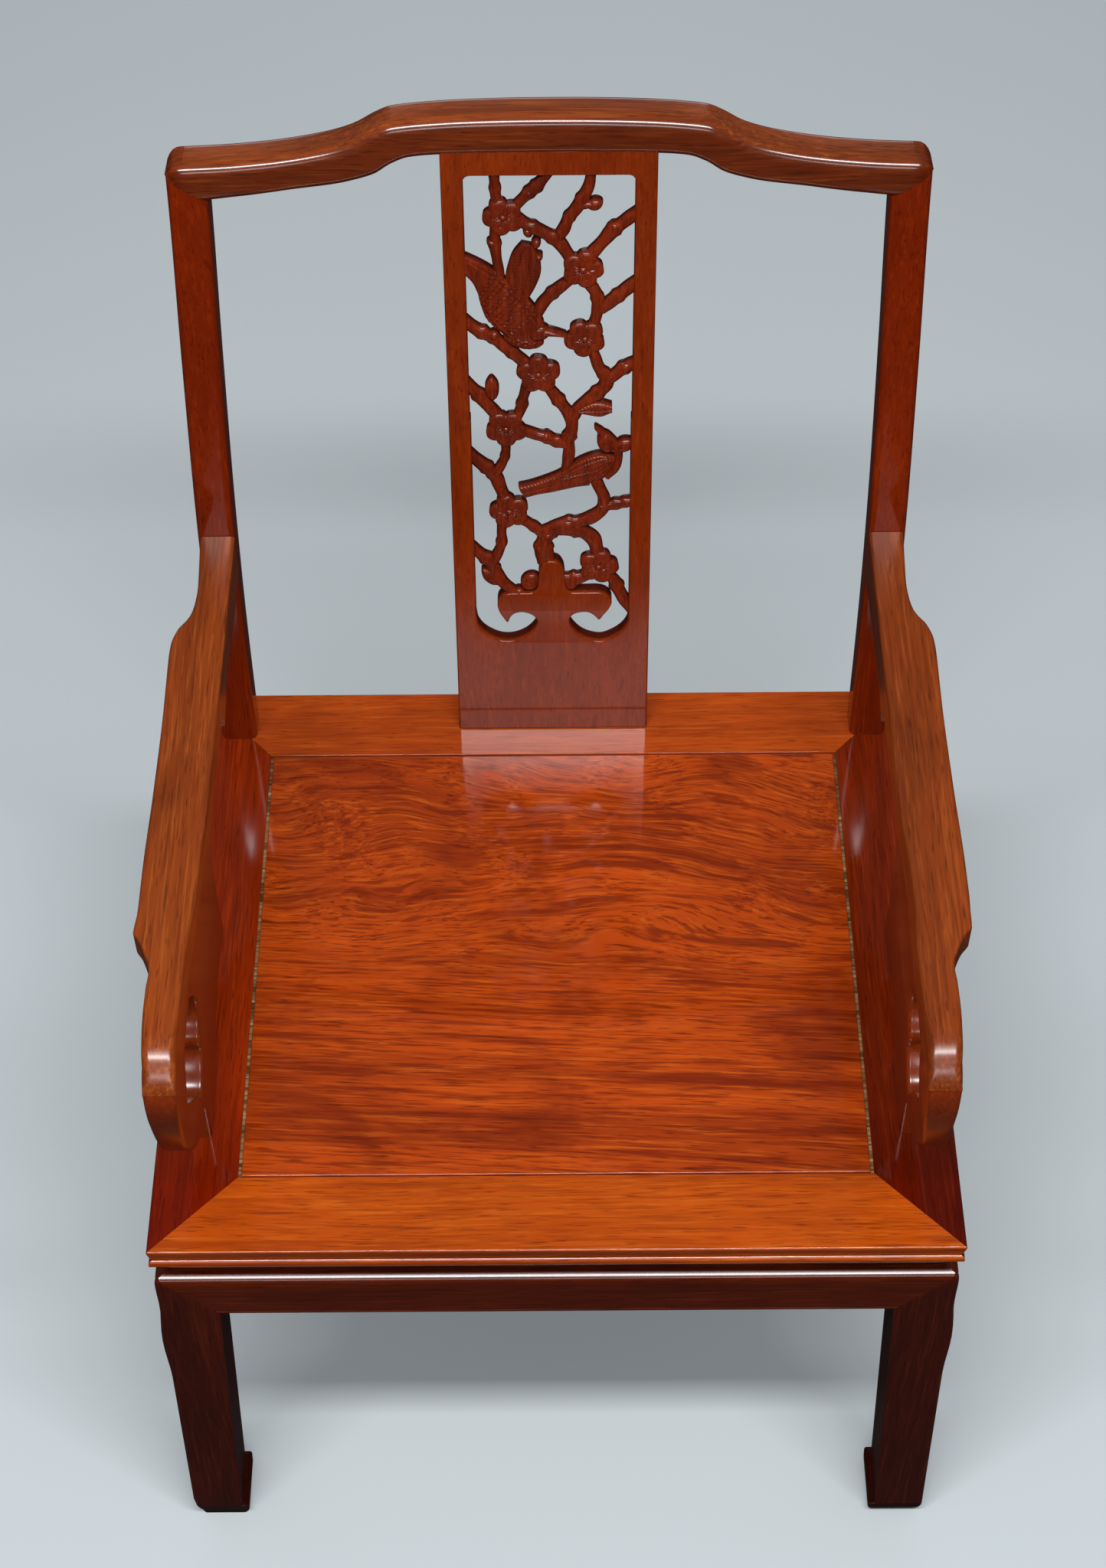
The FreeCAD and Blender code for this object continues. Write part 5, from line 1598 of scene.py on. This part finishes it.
@dataclass(frozen=True)
class Plume:
    """A wing, tail or leaf between two edges, its face cut with feathers."""

    upper: list[Point]
    lower: list[Point]
    front: float = 0.0
    dome: float = 2.4
    cut: Cut = Cut.SMOOTH
    count: float = 4.0
    scale_depth: float = 1.5
    scale_size: Point = (3.9, 7.4)
    spine_depth: float = 0.8
    spine_place: float = 0.62
    quill_depth: float = 1.0
    barb_depth: float = 0.10

    def grid(self) -> Array:
        """A domed band between the edges, carried from one end to the other.

        Returns: chair millimetres, rows by ring points by 3.
        """
        rows, columns = 110, 40
        upper, lower = smooth_line(self.upper, rows), smooth_line(self.lower, rows)
        share = np.linspace(0, 1, rows)[:, None]
        side = np.sin(np.linspace(-math.pi / 2, math.pi / 2, columns))
        width = np.linalg.norm(upper - lower, axis=1)[:, None]
        place = lower[:, None] + (upper - lower)[:, None] * ((side + 1) / 2)[None, :, None]
        behind = self.front + self.dome * (1 - np.sqrt(1 - side**2)) * np.minimum(1, width / 9)
        length = np.linalg.norm(np.diff((upper + lower) / 2, axis=0), axis=1).sum()
        if self.cut is Cut.SCALES:
            scale_long, scale_wide = self.scale_size
            middle = ease((share - 0.22) / 0.1) * ease((0.95 - share) / 0.1)
            scales = scallops(share * length / scale_long, side * width / scale_wide)
            behind = behind + self.scale_depth * middle * scales
            behind = behind + self.spine_depth * np.exp(-((side - self.spine_place) / 0.05)**2)
        if self.cut is Cut.QUILLS:
            fan = np.abs(np.sin(math.pi * self.count * (side + 1) / 2))
            barbs = self.barb_depth * np.sin(share * length * 2.6 + 9 * np.abs(side))
            behind = behind + self.quill_depth * (1 - fan)**2.4 + barbs
        back = np.full((rows, columns), CARVING_BACK)
        inset = lower[:, None] + (upper - lower)[:, None] * ((1 + side[::-1] * 0.97) / 2)[None, :, None]
        flat = np.concatenate([place, inset], axis=1)
        return lean_back(flat[..., 0], flat[..., 1], np.concatenate([behind, back], axis=1))


def scallops(along: Array, across: Array) -> Array:
    """Overlapping scales: each row rises along its length to rounded tips.

    Args:
        along: place along the rows, one unit for each row.
        across: place across, one unit for each scale.
    Returns: depth of the cut, 0 at the scales' crests and 1 at the deepest.
    """
    row = np.floor(along + 0.25 * np.cos(2 * math.pi * across))
    rise = along + 0.25 * np.cos(2 * math.pi * across) - row
    seam = np.abs(np.cos(math.pi * (across + 0.5 * row)))
    return 1 - (0.25 + 0.75 * rise) * (0.45 + 0.55 * np.minimum(1, seam * 1.6))


@dataclass
class Carving:
    """Flowering branches with two birds, in the traditional manner, filling the splat's opening.

    Places are x and height along the back, in mm.  The points are beaks and other fine bars.
    """

    flowers: list[Flower] = field(default_factory=lambda: [
        Flower(-31, 466, 112, 14.2), Flower(22.5, 424.5, 145, 14.8), Flower(24, 368, 120, 14.8),
        Flower(-8.5, 338, 90, 15.6), Flower(-32, 291, 126, 15.2), Flower(-31, 216, 105, 15.2),
        Flower(35, 163, 74, 15.2)])
    twigs: list[Twig] = field(default_factory=lambda: [
        Twig([(-36.5, 501, 3.6), (-36, 488, 3.4), (-35, 474, 3.4)], (0.5,)),
        Twig([(1, 502, 3.6), (-7, 490, 4.0), (-13, 484, 3.8), (-22, 474, 3.4)], (0.45, 0.65)),
        Twig([(28, 502, 3.6), (26.5, 489, 3.6), (22, 478.5, 4.2), (18, 471, 4.0), (13, 464, 3.8),
              (10, 456, 4.0), (6, 449, 4.0)], (0.42, 0.7)),
        Twig([(20, 474, 3.4), (26, 475, 3.2), (31, 475, 3.0)]),
        Twig([(-24, 466, 4.0), (-16, 459.5, 4.2), (-8, 455, 4.2), (1, 449.5, 4.4), (7, 444, 4.4),
              (13, 434, 4.2)], (0.3, 0.62)),
        Twig([(61, 470, 4.4), (50, 460.5, 4.4), (43, 454.5, 4.8), (37, 446.5, 4.4), (27, 434, 4.4)], (0.45,)),
        Twig([(-36, 458, 3.6), (-37, 446, 3.8), (-36, 434, 3.5), (-34, 416, 3.5)], (0.32,)),
        Twig([(25, 414, 3.8), (30.5, 406, 4.0), (33, 397, 4.2), (32, 386, 4.0), (30, 378, 4.0)], (0.4,)),
        Twig([(61, 415, 4.6), (50, 405, 4.6), (42, 397.5, 4.6), (35, 391, 4.2)], (0.55,)),
        Twig([(16, 417, 3.8), (8, 410, 4.0), (1, 403.5, 4.2), (-5, 396, 4.2), (-9, 388, 4.2)], (0.5,)),
        Twig([(-61, 384, 4.6), (-52, 376, 4.6), (-45, 371.5, 4.4), (-38, 367, 4.4), (-31, 360, 4.4),
              (-23, 352, 4.2), (-16, 345, 4.2)], (0.3, 0.45, 0.75)),
        Twig([(28, 361, 4.0), (31.5, 350, 3.8), (34, 342, 4.0), (38.5, 335, 4.6), (39, 328, 5.0),
              (33, 320.5, 4.8), (26, 314, 4.4), (20, 308, 4.2), (16, 300, 4.4)], (0.35, 0.62)),
        Twig([(37, 330, 4.0), (45, 336, 4.4), (51, 341.5, 4.8), (61, 348, 4.2)], (0.62,)),
        Twig([(-3, 328, 4.0), (4, 317, 4.2), (9, 309, 4.2), (14, 300, 4.6), (15, 290, 4.4), (12.5, 280, 4.4),
              (13, 270, 4.2), (11, 252, 4.0)], (0.2, 0.62)),
        Twig([(-61, 332, 4.4), (-52, 321, 4.6), (-46, 312.5, 4.8), (-39, 303, 4.4), (-34, 296, 4.0)],
             (0.35,)),
        Twig([(-17, 326, 3.8), (-19.5, 316, 3.6), (-21, 308, 3.6), (-25, 298, 3.8)], (0.5,)),
        Twig([(-20, 288.5, 4.2), (-11, 284.5, 4.0), (-3, 282, 4.4), (4, 278.5, 4.0), (14, 275, 4.0)],
             (0.5, 0.72)),
        Twig([(-61, 270, 4.6), (-52, 260.5, 4.8), (-45, 253.5, 4.6), (-40, 246, 4.8), (-37.5, 238, 4.6),
              (-33, 224, 4.4)], (0.38, 0.5)),
        Twig([(-33, 282, 3.4), (-32.5, 270, 3.1), (-34.5, 261, 3.2), (-40, 250, 3.6)], (0.5,)),
        Twig([(31, 246, 4.0), (35, 236, 4.2), (38.5, 226, 4.4), (37.5, 216.5, 4.8), (30, 209, 5.0),
              (20, 204.5, 5.2), (9, 202, 5.6), (1, 198, 5.8), (-4.5, 190, 5.6), (-6, 180, 6.4),
              (-4, 166, 7.0)], (0.55, 0.72, 0.85)),
        Twig([(36, 219, 4.2), (45, 220.5, 4.0), (53, 222.5, 4.0), (61, 225, 4.0)], (0.45, 0.72)),
        Twig([(-24, 209, 4.0), (-14, 201, 3.6), (-8, 195, 4.0), (-4, 187, 4.4)], (0.45,)),
        Twig([(4, 198, 6.0), (14, 198, 6.0), (24, 194.5, 5.8), (31, 187.5, 5.4), (34, 175, 5.0)], (0.35,)),
        Twig([(-61, 183, 4.6), (-53, 174.5, 4.6), (-46, 167, 4.8), (-43, 158, 5.0), (-39, 150, 4.8),
              (-34, 143, 4.4), (-28, 137, 4.0)], (0.3, 0.5)),
        Twig([(-36, 206, 4.0), (-37, 196, 3.6), (-37, 187, 3.4), (-39, 178, 3.8), (-44, 167, 4.0)], (0.5,)),
        Twig([(41, 156, 4.2), (46.5, 148, 4.4), (50, 139, 4.8), (54, 130, 4.6), (61, 118, 4.4)], (0.35,)),
        Twig([(3, 152, 5.0), (11, 150, 5.4), (20, 151, 5.2), (30, 156, 5.0)], (0.5,)),
    ])
    mounds: list[Mound] = field(default_factory=lambda: [
        Mound(30.5, 475, 5.6, 4.6, 20.0, 0.4, 0.2), Mound(-14.5, 453.5, 4.0, 3.2, -60, 0.6),
        Mound(-9, 445, 4.2, 3.2, 75, 0.6), Mound(-7.5, 434, 3.4, 2.8, 60, 0.3),
        Mound(44, 457, 4.4, 3.8, 120, 0.6), Mound(-41.3, 325.5, 10.0, 5.0, 92, 0.3, 0.35, Cut.QUILLS),
        Mound(52.8, 275.5, 7.4, 5.8, 30, 0.2, 0.2), Mound(-46, 153.5, 10.0, 5.4, 128, 0.2, 0.4, Cut.QUILLS),
        Mound(-16, 148, 8.6, 7.2, 60, 0.4), Mound(-25, 138.5, 4.4, 4.0, 20, 0.2),
        Mound(14.5, 147.5, 7.6, 5.6, 80, 0.4), Mound(-39, 371, 4.0, 3.4, 60, 0.6),
        Mound(53, 343, 5.0, 4.4, 30, 0.6), Mound(-3.5, 283.5, 4.0, 3.4, 70, 0.6),
        Mound(-38.5, 445, 4.2, 3.2, 150, 1.0), Mound(12, 203, 6.0, 4.4, 10, 0.4),
        Mound(-9, 180, 4.4, 3.6, 100, 0.6), Mound(-3, 192, 3.8, 3.0, 60, 0.3),
        Mound(-13.5, 484, 3.8, 3.2, 40, 0.6), Mound(-18.5, 367, 14.5, 7.6, -14, -0.3, 0.1, Cut.SCALES),
        Mound(-8.5, 373.0, 8.6, 6.6, 4, -0.6), Mound(30, 254, 19.5, 11.6, 32, -0.4, 0.1, Cut.SCALES),
        Mound(39.5, 278, 9.6, 6.4, 104, -0.6, 0.15),
    ])
    plumes: list[Plume] = field(default_factory=lambda: [
        Plume([(-60, 438), (-48, 431.5), (-39, 425.5), (-30, 417), (-20, 408), (-12.5, 398), (-7, 389),
               (-4, 381)],
              [(-60, 424), (-53, 416), (-49.5, 407), (-47.5, 397), (-44, 386), (-38, 378), (-30, 371),
               (-22, 366)],
              0.0, 1.6, Cut.SCALES),
        Plume([(-15, 400), (-9.5, 411), (-6, 422), (-6.5, 433), (-10, 443)],
              [(-28, 404), (-30.5, 416), (-28.5, 427), (-25, 437), (-19, 445)],
              0.7, 2.4, Cut.QUILLS, 3.0),
        Plume([(-24, 239.5), (-15, 242), (-5, 246), (5, 251), (15, 258), (22, 264)],
              [(-19, 229), (-10, 232), (0, 234), (10, 236.5), (18, 238.5), (28, 240)],
              0.2, 1.8, Cut.QUILLS, 2.0),
        Plume([(7, 252), (16, 260), (25, 265.5), (34, 268.5), (40, 268)],
              [(7, 247), (16, 248), (26, 250), (35, 254), (42, 262)], -0.8, 1.6, Cut.QUILLS, 4.0),
        Plume([(20, 309), (28, 313.5), (36, 314), (43.5, 311.5)],
              [(20, 305.5), (28, 302.5), (36, 301.5), (43.5, 305.5)], 0.2, 2.4, Cut.QUILLS, 2.0),
    ])
    points: list[Twig] = field(default_factory=lambda: [
        Twig([(-6, 373.5, 3.8), (-1, 373.5, 2.9), (4.5, 372.6, 2.2), (11.0, 370.8, 1.1)], (), -0.1),
        Twig([(38, 284, 3.2), (35, 288, 2.2), (31.5, 292, 0.9)], (), 0.3),
        Twig([(42, 282, 3.0), (47, 274, 3.2), (48.5, 264, 3.2), (46, 254, 3.0), (40, 247, 3.0)], (), 0.8),
        Twig([(-44, 396, 1.2), (-38, 384, 1.4), (-31, 376, 1.4), (-25, 369, 1.2)], (), -0.6),
    ])

    def build(self, finish: "Finishes") -> None:
        """Builds the pieces and dresses them.

        Args:
            finish: the chair's finishes.
        """
        parts = [skin("carved_part", part.grid(), Cap.POLE)
                 for part in [*self.twigs, *self.flowers, *self.mounds, *self.points]]
        parts += [skin("carved_plume", part.grid(), Cap.STRIP) for part in self.plumes]
        dress(joined("splat_carving", parts), finish.carving, ("back_splat",), 50.0)


ORANGE = Tones((0.26, 0.030, 0.003), (0.48, 0.074, 0.004), (0.60, 0.13, 0.010))
AMBER = Tones((0.26, 0.032, 0.004), (0.46, 0.064, 0.005), (0.56, 0.11, 0.010))
# The side rails' reds are darker than the front and back rails': painted shade for grain running along y,
# which looks darker under light from the front.
LEFT_RAIL_PAINTED_SHADE_RED = Tones((0.14, 0.011, 0.0012), (0.30, 0.024, 0.0018), (0.38, 0.038, 0.003))
RIGHT_RAIL_PAINTED_SHADE_RED = Tones((0.085, 0.007, 0.001), (0.19, 0.016, 0.0017), (0.26, 0.028, 0.003))
FLAME = Tones((0.16, 0.014, 0.003), (0.475, 0.060, 0.005), (0.55, 0.096, 0.008))
BARE = Tones((0.08, 0.03, 0.01), (0.30, 0.14, 0.055), (0.52, 0.33, 0.16))
UMBER = Tones((0.05, 0.005, 0.0008), (0.108, 0.0115, 0.0016), (0.16, 0.022, 0.003))
DARK = Tones((0.035, 0.0035, 0.001), (0.082, 0.0085, 0.002), (0.13, 0.016, 0.004))
RED = Tones((0.12, 0.009, 0.0008), (0.183, 0.0152, 0.001), (0.24, 0.023, 0.002))
BROWN = Tones((0.10, 0.018, 0.005), (0.26, 0.050, 0.010), (0.36, 0.085, 0.016))
PLUM = Tones((0.145, 0.0155, 0.0018), (0.225, 0.027, 0.003), (0.28, 0.038, 0.0045))
CARVED = Tones((0.07, 0.008, 0.003), (0.17, 0.018, 0.004), (0.24, 0.03, 0.006))
GOLDEN = Tones((0.13, 0.019, 0.002), (0.265, 0.046, 0.004), (0.41, 0.10, 0.013))
RUDDY = Tones((0.112, 0.018, 0.0025), (0.235, 0.039, 0.004), (0.33, 0.073, 0.010))
RAIL_FADES = (Fade((0.0, 1.0, 0.0), 30.0, 150.0, (0.52, 0.32, 0.3)),)
# Painted shade: the hoofs are darkened below the top of their step, near the floor.
HOOF_PAINTED_SHADE = (Fade((0.0, 0.0, 1.0), FLOOR_Z + 17.0, FLOOR_Z + 21.0, (0.40, 0.40, 0.45)),)
# The first fade is painted shade: it darkens the crest's front face against its top. The other two redden the
# ends towards the posts' wood.
CREST_SHADE_AND_TONE_FADES = (Fade(BEHIND_BACK, -1.6, 2.4, (0.62, 0.52, 0.5), SPLAT_SETBACK),
               Fade((-1.0, 0.0, 0.0), -252.0, -234.0, (0.8, 0.55, 0.35)),
               Fade((1.0, 0.0, 0.0), -252.0, -234.0, (0.8, 0.55, 0.35)))
# Painted shade on the carving's side walls, darkest from about mid-depth to near its back.
CARVED_PAINTED_SHADE = PaintedShade(CARVING_BACK - 6.2, CARVING_BACK - 2.6, CARVING_BACK - 0.3)


@dataclass(frozen=True)
class Finishes:
    """Every finish on the chair."""

    front_rail: LacqueredWood = LacqueredWood("front_rail_wood", ORANGE, offset=(0.3, 0.1, 0.2))
    back_rail: LacqueredWood = LacqueredWood("back_rail_wood", AMBER, offset=(1.3, 0.4, 0.2))
    left_rail: LacqueredWood = LacqueredWood("left_rail_wood", LEFT_RAIL_PAINTED_SHADE_RED, Grain.DEEP, (0.7, 0.2, 0.1),
                                             fades=RAIL_FADES)
    right_rail: LacqueredWood = LacqueredWood("right_rail_wood", RIGHT_RAIL_PAINTED_SHADE_RED, Grain.DEEP, (0.1, 0.9, 0.4),
                                              fades=RAIL_FADES)
    panel: LacqueredWood = LacqueredWood("panel_wood", FLAME, offset=(0.2, 0.3, 0.0), streaks=0.78,
                                         clouds=0.6, coat_rough=0.07, slant=3.4, swirl=(-0.07, 0.02, 0.11))
    bare_edge: LacqueredWood = LacqueredWood("bare_edge_wood", BARE, streaks=0.9, clouds=0.7, coat=0.0)
    front_apron: LacqueredWood = LacqueredWood("apron_wood_across", UMBER, coat_rough=0.19)
    side_apron: LacqueredWood = LacqueredWood("apron_wood_deep", UMBER, Grain.DEEP, coat_rough=0.26)
    waist_across: LacqueredWood = LacqueredWood("waist_wood_across", DARK)
    waist_deep: LacqueredWood = LacqueredWood("waist_wood_deep", DARK, Grain.DEEP)
    leg: LacqueredWood = LacqueredWood("leg_wood", DARK, Grain.UPRIGHT, coat_rough=0.2, fades=HOOF_PAINTED_SHADE)
    post: LacqueredWood = LacqueredWood("post_wood", RED, Grain.UPRIGHT)
    crest: LacqueredWood = LacqueredWood("crest_wood", BROWN, offset=(0.4, 0.2, 0.7), coat_rough=0.17,
                                         fades=CREST_SHADE_AND_TONE_FADES)
    # The splat's opening has painted shade on its side walls, inside the board's thickness.
    splat: LacqueredWood = LacqueredWood("splat_wood", PLUM, Grain.UPRIGHT, (0.0, 0.0, 0.3), coat=0.8,
                                         painted_shade=PaintedShade(1.6, 5.0, 11.4))
    carving: LacqueredWood = LacqueredWood("carved_wood", CARVED, Grain.UPRIGHT, coat=0.5, coat_rough=0.2,
                                           relief=0.25, painted_shade=CARVED_PAINTED_SHADE)
    left_arm: LacqueredWood = LacqueredWood("left_arm_wood", GOLDEN, Grain.DEEP, (0.1, 0.3, 0.0),
                                            coat_rough=0.26)
    right_arm: LacqueredWood = LacqueredWood("right_arm_wood", RUDDY, Grain.DEEP, (0.6, 0.1, 0.2), coat=0.9,
                                             coat_rough=0.27)
    support: LacqueredWood = LacqueredWood("support_wood", PLUM, Grain.DEEP, (0.2, 0.8, 0.3), coat_rough=0.2)


def dress_kept_nodes(finish: Finishes) -> None:
    """Gives the CAD nodes that stay their finishes.

    Args:
        finish: the chair's finishes.
    """
    plain = {"front_waist": finish.waist_across, "back_waist": finish.waist_across,
             "left_waist": finish.waist_deep, "right_waist": finish.waist_deep,
             "left_batten": finish.waist_deep, "right_batten": finish.waist_deep}
    for node, wood in plain.items():
        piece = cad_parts[node]
        for slot in piece.material_slots:
            slot.material = wood.material()
        log.info("%s keeps its solid", node)


@dataclass(frozen=True)
class Lamp:
    """A long soft lamp: places and size in metres in the row's frame, power in watts."""

    name: str
    place: Triple
    aim: Triple
    size: Point
    power: float

    def hang(self) -> None:
        """Hangs the lamp at its place, turned towards its aim."""
        data = bpy.data.lights.new(self.name, "AREA")
        data.shape = "RECTANGLE"
        data.size, data.size_y = self.size
        data.energy = self.power
        place = Vector(self.place)
        turn = (Vector(self.aim) - place).to_track_quat("-Z", "Y").to_matrix().to_4x4()
        linked(self.name, data).matrix_world = Matrix.Translation(place) @ turn


@dataclass
class Studio:
    """The pale floor, the lamps, the world and the camera.

    The eye is in the chair's millimetres and its turns are in degrees.
    """

    lamps: tuple[Lamp, ...] = (
        Lamp("key_lamp", (0.0, -0.95, 2.67), (0.0, 0.19, 0.45), (2.0, 0.2), 54.0),
        Lamp("front_lamp", (0.0, -2.05, 2.03), (0.0, 0.19, 0.45), (1.6, 0.3), 12.0),
        Lamp("back_lamp", (0.0, 2.9, 1.3), (0.0, 0.1, 0.5), (1.6, 0.9), 6.0))
    eye: Triple = (0.85, -876.74, 1608.01)
    pitch: float = 51.406
    yaw: float = -0.054
    roll: float = -0.44
    focal_px: float = 3460.6
    frame_height_px: float = 2048.0
    sensor: float = 36.0
    floor_seen: tuple[float, float, float, float] = (0.60, 0.65, 0.67, 1.0)
    floor_bounce: tuple[float, float, float, float] = (0.10, 0.115, 0.135, 1.0)
    floor_mirrored: tuple[float, float, float, float] = (0.022, 0.020, 0.020, 1.0)
    floor_reach: float = 30.0
    floor_rough: float = 0.85
    floor_specular: float = 0.1
    sky: tuple[float, float, float, float] = (0.82, 0.86, 0.90, 1.0)
    sky_strength: float = 0.40
    sky_not_mirrored: float = 0.35

    def floor(self) -> None:
        """Lays a wide pale floor just under the feet."""
        mesh = bpy.data.meshes.new("floor")
        reach = self.floor_reach
        mesh.from_pydata([(-reach, -reach, 0), (reach, -reach, 0), (reach, reach, 0), (-reach, reach, 0)], [],
                         [(0, 1, 2, 3)])
        piece = linked("floor", mesh)
        material = bpy.data.materials.new("pale_floor")
        material.use_nodes = True
        wires = Wiring(material.node_tree)
        shader = material.node_tree.nodes["Principled BSDF"]
        ray = wires.node("ShaderNodeLightPath").outputs
        other = wires.mixed(ray["Is Glossy Ray"], self.floor_bounce, self.floor_mirrored)
        wires.feed(shader.inputs["Base Color"], wires.mixed(ray["Is Camera Ray"], other, self.floor_seen))
        shader.inputs["Roughness"].default_value = self.floor_rough
        shader.inputs["Specular IOR Level"].default_value = self.floor_specular
        mesh.materials.append(material)

    def camera(self) -> None:
        """Sets the camera at the photograph's place, turn and lens."""
        data = bpy.data.cameras.new("camera")
        data.sensor_fit = "AUTO"
        data.sensor_width = self.sensor
        data.lens = self.focal_px / self.frame_height_px * self.sensor
        camera = linked("camera", data)
        pitch, yaw, roll = (math.radians(value) for value in (self.pitch, self.yaw, self.roll))
        ahead = Vector((math.sin(yaw) * math.cos(pitch), math.cos(yaw) * math.cos(pitch), -math.sin(pitch)))
        level = Vector((math.cos(yaw), -math.sin(yaw), 0.0))
        up = level.cross(ahead)
        right = math.cos(roll) * level + math.sin(roll) * up
        top = -math.sin(roll) * level + math.cos(roll) * up
        turn = Matrix((right, top, -ahead)).transposed().to_4x4()
        place = Vector(DATUM.row(np.array(self.eye)))
        camera.matrix_world = Matrix.Translation(place) @ turn
        bpy.context.scene.camera = camera

    def build(self) -> None:
        """Builds the floor, the lamps, the world and the camera."""
        self.floor()
        for lamp in self.lamps:
            lamp.hang()
        world = bpy.data.worlds.new("studio")
        world.use_nodes = True
        wires = Wiring(world.node_tree)
        back = world.node_tree.nodes["Background"]
        back.inputs["Color"].default_value = self.sky
        mirrored = wires.node("ShaderNodeLightPath").outputs["Is Glossy Ray"]
        hidden = wires.sums("MULTIPLY", mirrored, self.sky_not_mirrored)
        wires.feed(back.inputs["Strength"], wires.sums("SUBTRACT", self.sky_strength, hidden))
        bpy.context.scene.world = world
        bpy.context.scene.view_settings.view_transform = "Standard"
        self.camera()


def main() -> None:
    """Builds the chair's looks, piece by piece."""
    logging.basicConfig(level=logging.INFO, format="%(name)s %(message)s")
    finish = Finishes()
    SeatFrame().build(finish)
    Base().build(finish)
    BackFrame().build(finish)
    Arms().build(finish)
    Splat().build(finish)
    Carving().build(finish)
    dress_kept_nodes(finish)
    Studio().build()


if __name__ == "__main__":
    main()
